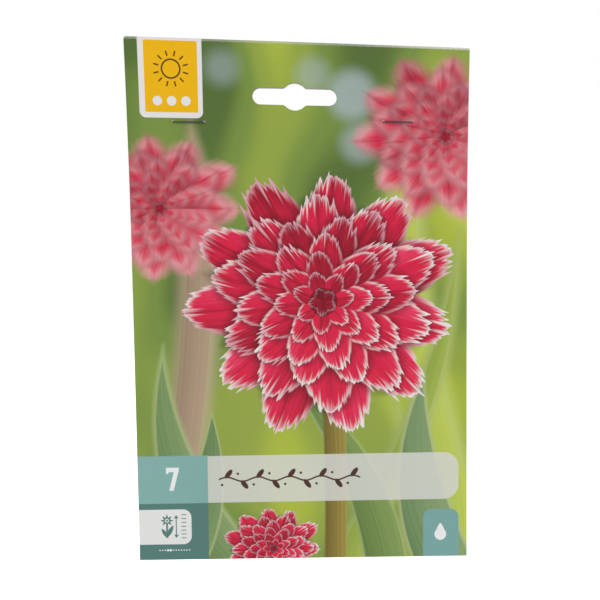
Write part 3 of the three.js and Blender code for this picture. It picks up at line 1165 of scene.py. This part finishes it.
def fold_sheet(flat, depth):
    """Points of the unrolled sheet, folded, at a depth from its printed side."""
    x, s = flat[:, 0].copy(), flat[:, 1]
    angle = math.pi - np.clip((s - SHOULDER) / (FOLDED / 2), 0, math.pi)
    radius = FOLDED / 2 - depth
    y = FOLDED / 2 + radius * np.cos(angle)
    z = np.where(s < SHOULDER, s, SHOULDER + radius * np.sin(angle))
    z = np.where(angle <= 0, on_flap(s), z)
    below_top = np.clip((CARD_HEIGHT - z) / CORNER_WEAR, 0, 1)
    worn = CORNER_WEAR * (1 - np.sqrt(1 - (1 - below_top) ** 2))
    x -= np.sign(x) * worn * np.clip((abs(x) - CARD_WIDTH / 2 + WEAR_REACH) / WEAR_REACH, 0, 1)
    for _, staple_x, staple_z in STAPLES:
        beside = np.maximum(abs(x - staple_x) - CROWN / 2, 0)
        gap = np.hypot(beside, z - staple_z)
        dent = DENT * np.exp(-((gap / DENT_REACH) ** 2))
        y += np.where(s < SHOULDER, dent, np.where(angle <= 0, -dent, 0))
    return np.stack([x, y, z], axis=1)


def card_islands(flat, faces, triangle_count):
    """Where each face corner lies in the baked picture: the printed front has two thirds of it."""
    big = FRONT_SHARE / CARD_WIDTH
    small = SMALL_SHARE / CARD_WIDTH
    count = len(flat)
    uv = []
    for number, face in enumerate(faces):
        on_front = all(flat[corner % count][1] <= FOLD_MIDDLE for corner in face)
        for corner in face:
            x, s = flat[corner % count]
            across = x + CARD_WIDTH / 2
            if number >= 2 * triangle_count:
                uv.append((SMALL_START + small * across, WALL_START + WALL_SHARE * s / SHEET_LENGTH))
            elif corner >= count:
                uv.append((SMALL_START + small * across, MARGIN + small * s))
            elif on_front:
                uv.append((MARGIN + big * across, MARGIN + big * s))
            else:
                uv.append((SMALL_START + small * across, FLAP_START + small * (s - SHOULDER)))
    return uv


def make_card():
    """The folded card: printed front, bare board behind and on the flap, and cut edges darkened with painted
    shade.
    """
    columns = np.linspace(-CARD_WIDTH / 2, CARD_WIDTH / 2, CARD_WIDTH // CARD_GRID + 1)
    front = np.linspace(0, SHOULDER, FRONT_STEPS + 1)
    fold = np.linspace(SHOULDER, SHOULDER + FOLD_LENGTH, FOLD_STEPS + 1)[1:]
    flap = np.linspace(SHOULDER + FOLD_LENGTH, SHEET_LENGTH, FLAP_STEPS + 1)[1:]
    rows = np.sort(np.concatenate([front, [SHOULDER - 0.4, SHOULDER - 1.0], fold, flap]))
    outline, inner = sheet_grid(columns, rows)
    holes = [slot_loop(SLOT_X, SLOT_Z), slot_loop(SLOT_X, on_flap(SLOT_Z))]
    for _, x, z in STAPLES:
        for s in (z, on_flap(z)):
            holes += [puncture(leg, s) for leg in legs_of(x)]
            inner += [(x + dx, s + dz) for dx in DENT_COLUMNS for dz in DENT_ROWS]
    flat, triangles = cut_sheet(outline, holes, inner, EDGE_ROOM)
    faces = thicken(triangles, len(flat))
    points = np.concatenate([fold_sheet(flat, 0), fold_sheet(flat, BOARD)])
    looks = [0 if max(flat[c][1] for c in t) <= FOLD_MIDDLE else 1 for t in triangles]
    looks += [1] * len(triangles)
    looks += [2] * (len(faces) - len(looks))
    plain = board_material("plain_board", "DAD7D0", "E8E5DF", 1.6)
    # the cut edges are greyish board, made darker with painted shade
    shaded_cut_edge = board_material("cut_board_edge", "5C544B", "938A7E", 3.0)
    card = link("card_sheet", place(points), faces, [print_material(), plain, shaded_cut_edge], looks)
    card.data.set_sharp_from_angle(angle=SHARP)
    layer = card.data.uv_layers.new(name="OFBake")
    islands = card_islands(flat, faces, len(triangles))
    layer.data.foreach_set("uv", np.asarray(islands, np.float32).ravel())
    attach(card, "root")
    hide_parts("printed_card")


# Staples

WIRE_GAP = 0.15
WIRE_BEND = 0.55
CHISEL = 0.5
CROWN_Y = -WIRE / 2 - WIRE_GAP + 0.1
REAR_Y = FOLDED + WIRE / 2 + WIRE_GAP
LEG_TURN_Y = REAR_Y + 0.6 * WIRE
POINT_Y = REAR_Y - 0.08


def build_wire(given):
    """A flattened wire with round edges along a path, closed by narrower chisel ends."""
    path = given["Geometry"]
    tree = tree_of(path)
    size = dict(Width=given["Thickness"], Height=given["Width"])
    section = out(node_in(tree, "GeometryNodeCurvePrimitiveQuadrilateral", **size))
    rounding = dict(Radius=given["Edge radius"], Count=3)
    section = out(node_in(tree, "GeometryNodeFilletCurve", {"mode": "POLY"}, Curve=section, **rounding))
    reached = out(node_in(tree, "GeometryNodeSplineParameter"), "Length")
    length = out(node_in(tree, "GeometryNodeSplineLength"), "Length")
    from_end = least(reached, length - reached) / given["Chisel"]
    narrow = clamped(from_end * 0.65 + 0.35)
    upright = out(node_in(tree, "GeometryNodeSetCurveNormal", {"mode": "Z_UP"}, Curve=path))
    sweep = dict(Curve=upright, Profile_Curve=section, Scale=narrow, Fill_Caps=True)
    wire = out(node_in(tree, "GeometryNodeCurveToMesh", **sweep))
    smooth = through(wire, "SetShadeSmooth", Shade_Smooth=True)
    return [through(smooth, "SetMaterial", Material=given["Steel"])]


def make_staples():
    inputs = {
        "Geometry": GEOMETRY,
        "Width": 0.8 * WIRE * MM,
        "Thickness": 0.7 * WIRE * MM,
        "Edge radius": 0.12 * MM,
        "Chisel": CHISEL * MM,
        "Steel": steel_material(),
    }
    builder = make_tree("GeometryNodeTree", "flat_wire", inputs, {"Geometry": GEOMETRY}, build_wire)
    for name, x, z in STAPLES:
        left, right = legs_of(x)
        corners = [
            (left + CLINCH, POINT_Y, z),
            (left, LEG_TURN_Y, z),
            (left, CROWN_Y, z),
            (right, CROWN_Y, z),
            (right, LEG_TURN_Y, z),
            (right - CLINCH, POINT_Y, z),
        ]
        points = place(bent_path(corners, WIRE_BEND))
        curve = bpy.data.curves.new(name + "_line", "CURVE")
        curve.dimensions = "3D"
        spline = curve.splines.new("POLY")
        spline.points.add(len(points) - 1)
        spline.points.foreach_set("co", np.c_[points, np.ones(len(points))].ravel())
        line = show(name + "_line", curve)
        staple = show(name + "_wire", run_builder(builder, line))
        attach(staple, "root")
        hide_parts(name)


# Bulbs, whose geometry tree works in millimetres

FLESH_GRID = (64, 44)
SKIN_GRID = (130, 92)
FLESH_LIFT = -0.9
SKIN_THICKNESS = 0.14
SKIN_ROOM = 0.75
UNEVENNESS = 2.2
RIB_HEIGHT = 0.55
TUCKED_UNDER = -0.55
CURLED_UP = 0.35
ROOT_COUNT = 90
ROOT_START = 0.55
ROOT_SPREAD = -0.9
ROOT_CONE = dict(Vertices=6, Radius_Top=0.12, Radius_Bottom=0.36, Depth=1.3)


def bulb_seat(bulb):
    """A bulb's turn, and the place of its axis at its widest height, settled, in millimetres."""
    row, place_in_row, size, side, back = bulb
    turn = Matrix.Rotation(math.radians(-back), 3, "X") @ Matrix.Rotation(math.radians(side), 3, "Y")
    x = place_in_row * BULB_PITCH
    z = FIRST_ROW + row * ROW_PITCH + BULB_WIDEST * BULB_HEIGHT
    y = BOARD + BAG_GAP + BAG_DEPTH - PACKED_FILM - SEAT_GAP - BULB_RADIUS * size
    return np.array(turn), np.array([x, y + set_back(x, z), z])


def outline_curve(way, column):
    """A column of the bulb's outline as a smooth curve over the share of the way."""
    node = node_in(tree_of(way), "ShaderNodeFloatCurve", Value=way)
    points = node.mapping.curves[0].points
    while len(points) < len(BULB_OUTLINE):
        points.new(0.5, 0.5)
    for point, row in zip(points, BULB_OUTLINE):
        point.location = (row[0], row[column])
    node.mapping.update()
    return out(node)


def position_in(tree):
    return out(node_in(tree, "GeometryNodeInputPosition"))


def patch_place(given, angle, way):
    """Where a place on the bulb reads its noise, so that the noise closes round the bulb."""
    return vector(cosine(angle) * 1.3 + given["Seed"], sine(angle) * 1.3, way * 1.6)


def turned_skin(given, across, up, lift):
    """A grid rolled into the bulb's shape and lifted by a field, with its own place kept as an attribute."""
    tree = tree_of(given["Geometry"])
    size = dict(Size_X=1.0, Size_Y=1.0, Vertices_X=across, Vertices_Y=up)
    grid = out(node_in(tree, "GeometryNodeMeshGrid", **size))
    column, row, _ = parts(position_in(tree))
    angle = (column + 0.5) * (2 * math.pi)
    way = row + 0.5
    radius = outline_curve(way, 1) * given["Radius"]
    height = outline_curve(way, 2) * given["Height"]
    around = patch_place(given, angle, way)
    uneven = (cloud(around, 1.0, 1.0) - 0.5) * UNEVENNESS
    rib_place = vector(cosine(angle) * 9.0, sine(angle) * 9.0, way * 0.8 + given["Seed"])
    ribs = (cloud(rib_place, 1.0, 2.0) - 0.5) * RIB_HEIGHT
    full = clamped(radius / (given["Radius"] * 0.5))
    radius = radius + (uneven + ribs) * full + lift(around, way) * clamped(radius / 2.0)
    where = vector(radius * cosine(angle), radius * sine(angle), height)
    placed = through(grid, "SetPosition", Position=where)
    kept = {"data_type": "FLOAT_VECTOR", "domain": "POINT"}
    return through(placed, "StoreNamedAttribute", kept, Name="own_place", Value=position_in(tree))


def build_flesh(given):
    flesh = turned_skin(given, *FLESH_GRID, lambda around, way: FLESH_LIFT)
    flesh = through(flesh, "MergeByDistance", Distance=0.01)
    return through(flesh, "SetMaterial", Material=given["Flesh"])


def build_skin(given):
    """A papery skin that is torn away in patches and curls up along its tears."""

    def tear(around, way):
        """Above 0 where the skin is torn away, and just under it along the tears."""
        patch = cloud(around, 1.1, 4.0, 0.62)
        return patch - given["Cover"] + ease(way, 0.12, 0.3, 0.12, 0.0)

    def curl(around, way):
        return ease(tear(around, way), -0.035, 0.0, TUCKED_UNDER, CURLED_UP)

    skin = turned_skin(given, *SKIN_GRID, curl)
    tree = tree_of(skin)
    x, y, z = parts(position_in(tree))
    way = z / given["Height"]
    around = patch_place(given, calculate("ARCTAN2", y, x), way)
    torn = calculate("GREATER_THAN", tear(around, way), 0.0)
    skin = through(skin, "MergeByDistance", Distance=0.01)
    left = through(skin, "DeleteGeometry", {"domain": "FACE"}, Selection=torn)
    thicker = dict(Mesh=left, Offset_Scale=SKIN_THICKNESS, Individual=False)
    outer = out(node_in(tree, "GeometryNodeExtrudeMesh", {"mode": "FACES"}, **thicker))
    turned = out(node_in(tree, "GeometryNodeFlipFaces", Mesh=left))
    closed = through(joined(turned, outer), "MergeByDistance", Distance=0.002)
    return through(closed, "SetMaterial", Material=given["Skin"])


def build_roots(given):
    """Short dry roots that spread from the root plate."""
    tree = tree_of(given["Geometry"])
    line = out(node_in(tree, "GeometryNodeMeshLine", Count=given["Roots"]))
    index = out(node_in(tree, "GeometryNodeInputIndex"))
    spin, share, bend = chance(index * 1.7 + given["Seed"])
    reach = calculate("SQRT", share) * given["Radius"] * 0.25
    spin = spin * (2 * math.pi)
    foot = vector(reach * cosine(spin), reach * sine(spin), ROOT_START)
    spread = through(line, "SetPosition", Position=foot)
    root = out(node_in(tree, "GeometryNodeMeshCone", **ROOT_CONE))
    tilt_x = sine(spin) * ROOT_SPREAD * share + math.pi
    tilt_y = cosine(spin) * ROOT_SPREAD * share
    turn = out(node_in(tree, "FunctionNodeEulerToRotation", Euler=vector(tilt_x, tilt_y, bend * 6.0)))
    seating = dict(Points=spread, Instance=root, Rotation=turn, Scale=vector(1.0, 1.0, 0.5 + bend * 0.7))
    placed = out(node_in(tree, "GeometryNodeInstanceOnPoints", **seating))
    return through(through(placed, "RealizeInstances"), "SetMaterial", Material=given["Root"])


def build_bulb(given):
    """Pale flesh, a torn papery skin over it and roots under the root plate."""
    flesh, skin, roots = build_flesh(given), build_skin(given), build_roots(given)
    whole = through(joined(roots, skin, flesh), "RealizeInstances")
    return [through(whole, "SetShadeSmooth", Shade_Smooth=True)]


def make_bulbs():
    inputs = {
        "Geometry": GEOMETRY,
        "Radius": BULB_RADIUS - SKIN_ROOM,
        "Height": float(BULB_HEIGHT),
        "Seed": 0.0,
        "Cover": 0.58,
        "Roots": ROOT_COUNT,
        "Flesh": flesh_material(),
        "Skin": skin_material(),
        "Root": root_material(),
    }
    builder = make_tree("GeometryNodeTree", "papery_bulb", inputs, {"Geometry": GEOMETRY}, build_bulb)
    for number, bulb in enumerate(BULBS, 1):
        source = show("source", bpy.data.meshes.new("source"))
        cover = 0.55 + 0.012 * (number * 3 % 5)
        mesh = run_builder(builder, source, Seed=number * 5.3, Cover=cover)
        turn, seat = bulb_seat(bulb)
        points = mesh_points(mesh)
        points[:, 2] -= BULB_WIDEST * BULB_HEIGHT
        settled = (points * bulb[2]) @ turn.T + seat
        mesh.vertices.foreach_set("co", ((settled - ORIGIN) * MM).ravel())
        mesh.update()
        piece = show(f"bulb_{number}_dressed", mesh)
        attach(piece, "root")
        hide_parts(f"bulb_{number}")


# Film bag, whose places are given by how far round it they are, 0 at the middle of the back, and by height

COARSE = 2.1
FINE = 1.4
HOLE_STEPS = 24
HOLE_ROOM = 0.35
BULB_ROOM = 1.1
DOUBLES = 0.002

# Trial of the film, made larger because the cloth simulation is meant for such sizes
DRAPE_SCALE = 10
DRAPE_FRAMES = 36
TOUCH = 0.004
FRICTION = 4
COLLISION_QUALITY = 3
GRAVITY_SHARE = 0.05
FRONT_MARGIN = 1
BULB_TURNS = 24
CLOTH = {
    "quality": 6,
    "mass": 0.15,
    "tension_stiffness": 25,
    "compression_stiffness": 25,
    "shear_stiffness": 12,
    "bending_stiffness": 0.12,
    "air_damping": 3,
    "vertex_group_mass": "held",
    "use_pressure": True,
    "uniform_pressure_force": -6,
}
CARD_BACK = [(-90, BOARD, -30), (90, BOARD, -30), (90, BOARD, 200), (-90, BOARD, 200)]


def bag_depth(z):
    """The unsettled bag's depth at a height: the weld, the full belly and the neck."""
    low = np.clip((BELLY_LOW - z) / (BELLY_LOW - SEAL_TOP), 0, 1)
    high = np.clip((z - BELLY_HIGH) / (NECK - BELLY_HIGH), 0, 1)
    fullness = np.sqrt(1 - low * low) * (0.5 + 0.5 * np.cos(math.pi * high))
    return FLAT_DEPTH + (BAG_DEPTH - FLAT_DEPTH) * fullness


def round_the_bag(s, z):
    """A point of the full bag from its place round the bag and its height."""
    depth = bag_depth(z)
    straight = (2 * BAG_FLAT_WIDTH - math.pi * depth) / 4
    beyond = abs(s) - straight
    angle = np.clip(beyond / (depth / 2), 0, math.pi)
    x = straight + depth / 2 * np.sin(angle)
    x = np.where(beyond < 0, abs(s), x)
    x = np.where(angle >= math.pi, BAG_FLAT_WIDTH - abs(s), x)
    y = BAG_FRONT + depth / 2 * (1 + np.cos(angle))
    return np.stack([x * np.sign(s), y, z + 0 * s], axis=-1)


def bulb_obstacle(bulb):
    """A plain bulb in the flat layout, as points and faces."""
    turn, seat = bulb_seat(bulb)
    rings = []
    for _, radius, height in BULB_OUTLINE[1:-1]:
        for spin in np.linspace(0, 2 * math.pi, BULB_TURNS, endpoint=False):
            across = radius * BULB_RADIUS
            rise = (height - BULB_WIDEST) * BULB_HEIGHT
            rings.append((across * math.cos(spin), across * math.sin(spin), rise))
    ends = [(0, 0, (end - BULB_WIDEST) * BULB_HEIGHT) for end in (0.01, 1)]
    points = (np.array(rings + ends) * bulb[2]) @ turn.T + seat
    points[:, 1] -= set_back(seat[0], seat[2])
    count = len(rings)
    last = count - BULB_TURNS
    pairs = [(i, (i + 1) % BULB_TURNS) for i in range(BULB_TURNS)]
    faces = []
    for low in range(0, last, BULB_TURNS):
        high = low + BULB_TURNS
        faces += [(low + i, low + j, high + j, high + i) for i, j in pairs]
    for i, j in pairs:
        faces += [(j, i, count), (last + i, last + j, count + 1)]
    return points, faces


def drape(grid, held, obstacles):
    """The film, a grid of points closed round the bag, shrunk onto what is in it."""
    rows, columns, _ = grid.shape
    faces = []
    for r in range(rows - 1):
        low, high = r * columns, (r + 1) * columns
        for c in range(columns):
            d = (c + 1) % columns
            faces.append((low + d, low + c, high + c, high + d))
    scale = DRAPE_SCALE * MM
    film = link("film_trial", grid.reshape(-1, 3) * scale, faces, [])
    pins = film.vertex_groups.new(name="held")
    pins.add(np.flatnonzero(held.ravel()).tolist(), 1.0, "REPLACE")
    cloth = film.modifiers.new("cloth", "CLOTH")
    for name, value in CLOTH.items():
        setattr(cloth.settings, name, value)
    cloth.settings.effector_weights.gravity = GRAVITY_SHARE
    cloth.collision_settings.distance_min = TOUCH
    cloth.collision_settings.collision_quality = COLLISION_QUALITY
    solids = []
    for number, (points, corners) in enumerate(obstacles):
        solid = link(f"obstacle_{number}", np.asarray(points) * scale, corners, [])
        solid.modifiers.new("collision", "COLLISION")
        solid.collision.thickness_outer = TOUCH
        solid.collision.cloth_friction = FRICTION
        solids.append(solid)
    scene = bpy.context.scene
    cloth.point_cache.frame_end = DRAPE_FRAMES
    for step in range(1, DRAPE_FRAMES + 1):
        scene.frame_set(step)
    draped = film.evaluated_get(bpy.context.evaluated_depsgraph_get()).to_mesh()
    points = mesh_points(draped)
    scene.frame_set(1)
    for thing in (film, *solids):
        bpy.data.objects.remove(thing)
    return points.reshape(rows, columns, 3) / scale


def smooth_weights(t):
    """How much each of four neighbours counts, for a smooth curve through them."""
    return (
        ((-t + 2) * t - 1) * t / 2,
        ((3 * t - 5) * t * t + 2) / 2,
        ((-3 * t + 4) * t + 1) * t / 2,
        (t - 1) * t * t / 2,
    )


def smooth_sample(grid, row, column):
    """Points of a grid at places between its rows and columns. It is closed across its columns."""
    rows, columns, _ = grid.shape
    row_cell = np.clip(np.floor(row).astype(int), 0, rows - 2)
    column_cell = np.floor(column).astype(int)
    total = 0
    for i, row_weight in enumerate(smooth_weights(row - row_cell)):
        for j, column_weight in enumerate(smooth_weights(column - column_cell)):
            r = np.clip(row_cell + i - 1, 0, rows - 1)
            c = (column_cell + j - 1) % columns
            total = total + grid[r, c] * (row_weight * column_weight)[:, None]
    return total


def bag_levels(spacing):
    """Heights of rows of points, with one at each change of the bag's shape."""
    ends = [BAG_BOTTOM, SEAL_TOP, BELLY_LOW, BELLY_HIGH, NECK, BAG_TOP]
    levels = [BAG_BOTTOM]
    for low, high in zip(ends, ends[1:]):
        steps = math.ceil((high - low) / spacing)
        levels += [low + (high - low) * (i + 1) / steps for i in range(steps)]
    return np.array(levels, float)


def film_shape():
    """The draped film as a grid of points in the flat layout, with its places round the bag and heights."""
    count = round(2 * BAG_FLAT_WIDTH / COARSE)
    round_places = np.linspace(-BAG_FLAT_WIDTH, BAG_FLAT_WIDTH, count, endpoint=False)
    levels = bag_levels(COARSE)
    s, z = np.meshgrid(round_places, levels)
    grid = round_the_bag(s, z)
    front_start = (2 * BAG_FLAT_WIDTH + math.pi * bag_depth(z)) / 4
    held = (z >= NECK) | (z <= SEAL_TOP) | (abs(s) > front_start - FRONT_MARGIN)
    obstacles = [bulb_obstacle(bulb) for bulb in BULBS] + [(CARD_BACK, [(3, 2, 1, 0)])]
    return drape(grid, held, obstacles), round_places, levels


def clear_of_bulbs(points, room):
    """Points in the flat layout, moved out of every bulb until that much room is left."""
    _, radii, heights = np.array(BULB_OUTLINE).T
    outline = np.stack([radii * BULB_RADIUS, heights * BULB_HEIGHT], axis=1)
    start, run = outline[:-1], np.diff(outline, axis=0)
    for bulb in BULBS:
        turn, seat = bulb_seat(bulb)
        seat[1] -= set_back(seat[0], seat[2])
        local = (points - seat) @ turn / bulb[2]
        from_axis = np.hypot(local[:, 0], local[:, 1])
        place_out = np.stack([from_axis, local[:, 2] + BULB_WIDEST * BULB_HEIGHT], axis=1)
        off = place_out[:, None] - start
        along = np.clip((off * run).sum(2) / (run**2).sum(1), 0, 1)[..., None]
        gaps = off - along * run
        nearest = np.linalg.norm(gaps, axis=2).argmin(1)
        gap = gaps[np.arange(len(points)), nearest]
        side = run[nearest]
        inside_it = side[:, 1] * gap[:, 0] - side[:, 0] * gap[:, 1] < 0
        distance = np.maximum(np.linalg.norm(gap, axis=1), 1e-6)
        outwards = gap / distance[:, None] * np.where(inside_it, -1, 1)[:, None]
        push = np.maximum(0, room - np.where(inside_it, -distance, distance))
        spin = local[:, :2] / np.maximum(place_out[:, :1], 1e-6)
        move = np.concatenate([spin * outwards[:, :1], outwards[:, 1:]], axis=1) * push[:, None]
        points = points + (move * bulb[2]) @ turn.T
    return points


def vertex_normals(points, triangles):
    corners = points[np.array(triangles)]
    flat_normals = np.cross(corners[:, 1] - corners[:, 0], corners[:, 2] - corners[:, 0])
    total = np.zeros_like(points)
    for i in range(3):
        np.add.at(total, np.array(triangles)[:, i], flat_normals)
    return total / np.maximum(np.linalg.norm(total, axis=1), 1e-9)[:, None]


def merge_doubles(piece, distance):
    work = bmesh.new()
    work.from_mesh(piece.data)
    bmesh.ops.remove_doubles(work, verts=work.verts, dist=distance)
    work.to_mesh(piece.data)
    work.free()
    piece.data.shade_smooth()


def make_bag():
    """The film as one closed skin, with its air holes and the staples' punctures."""
    shape, round_places, levels = film_shape()
    side = BAG_FLAT_WIDTH
    across = np.linspace(-side, side, math.ceil(2 * side / FINE) + 1)
    outline, inner = sheet_grid(across, bag_levels(FINE))
    holes = [arc(hole, AIR_HOLE_RADIUS, 0, 2 * math.pi, HOLE_STEPS) for hole in AIR_HOLES]
    for _, x, z in STAPLES:
        for leg in legs_of(x):
            holes += [puncture(leg, z), puncture(math.copysign(side, leg) - leg, z)]
    flat, triangles = cut_sheet(outline, holes, inner, HOLE_ROOM)
    column = (flat[:, 0] + side) / (2 * side) * len(round_places)
    row = np.interp(flat[:, 1], levels, np.arange(len(levels)))
    points = smooth_sample(shape, row, column)
    pressed = (flat[:, 1] <= SEAL_TOP) | (flat[:, 1] >= NECK)
    points[pressed] = round_the_bag(flat[pressed, 0], flat[pressed, 1])
    points = clear_of_bulbs(points, BULB_ROOM)
    triangles = [t[::-1] for t in triangles]
    edges = np.flatnonzero(abs(abs(flat[:, 0]) - side) < 1e-3).tolist()
    faces = thicken(triangles, len(flat), edges)
    outwards = vertex_normals(points, triangles)
    points = np.concatenate([points, points - outwards * FILM])
    bag = link("draped_film", place(points), faces, [film_material()])
    merge_doubles(bag, DOUBLES * MM)
    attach(bag, "root")
    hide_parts("film_bag")


# Studio, in metres apart from the floor's drop under the card

FLOOR_DROP = 60
FLOOR_REACH = 3.0
FLOOR_GLOW = 0.7
ROOM_LIGHT = 0.42
SEEN_LIGHT = 0.58
LIGHT_AIM = (0.003, 0.02, -0.08)

# Lights: name, place, size and watts
LIGHTS = [
    ("key", (-0.55, -0.8, 0.55), (0.6, 0.6), 3.6),
    ("fill", (0.8, -0.6, 0.1), (0.7, 0.9), 1.7),
    ("back", (0.4, 0.9, 0.6), (0.5, 0.7), 5),
    ("back_edge", (-0.9, 0.5, 0.0), (0.2, 0.9), 2.5),
]


def area_light(name, eye, size, watts):
    data = bpy.data.lights.new(name, "AREA")
    data.shape = "RECTANGLE"
    data.size, data.size_y = size
    data.energy = watts
    light = show(name, data)
    light.location = eye
    light.rotation_euler = (Vector(LIGHT_AIM) - Vector(eye)).to_track_quat("-Z", "Y").to_euler()


def seen_directly(tree):
    """1 where the camera itself sees a surface, and 0 for its reflections and its light."""
    return out(node_in(tree, "ShaderNodeLightPath"), "Is Camera Ray")


def floor_material():
    material, tree, shader = new_material("pale_floor")
    tone = cloud(object_place(tree, 1.0), 1.2, 1.0)
    fill(shader, Base_Color=blend(colour("F7F7F6"), colour("FBFBFA"), tone), Roughness=0.85)
    fill(shader, Emission_Color=WHITE, Emission_Strength=seen_directly(tree) * FLOOR_GLOW)
    return material


def make_studio():
    scene = bpy.context.scene
    scene.view_settings.view_transform = "Standard"
    world = bpy.data.worlds.new("studio")
    scene.world = world
    world.use_nodes = True
    tree = world.node_tree
    strength = seen_directly(tree) * SEEN_LIGHT + ROOM_LIGHT
    fill(tree.nodes["Background"], Strength=strength, Color=WHITE)
    for light in LIGHTS:
        area_light(*light)
    level = -(SLOT_Z + FLOOR_DROP) * MM
    corners = [(i * FLOOR_REACH, j * FLOOR_REACH, level) for i, j in SQUARE]
    floor = link("floor", corners, [(0, 1, 2, 3)], [floor_material()])


make_camera()
make_studio()
make_card()
make_staples()
make_bulbs()
make_bag()
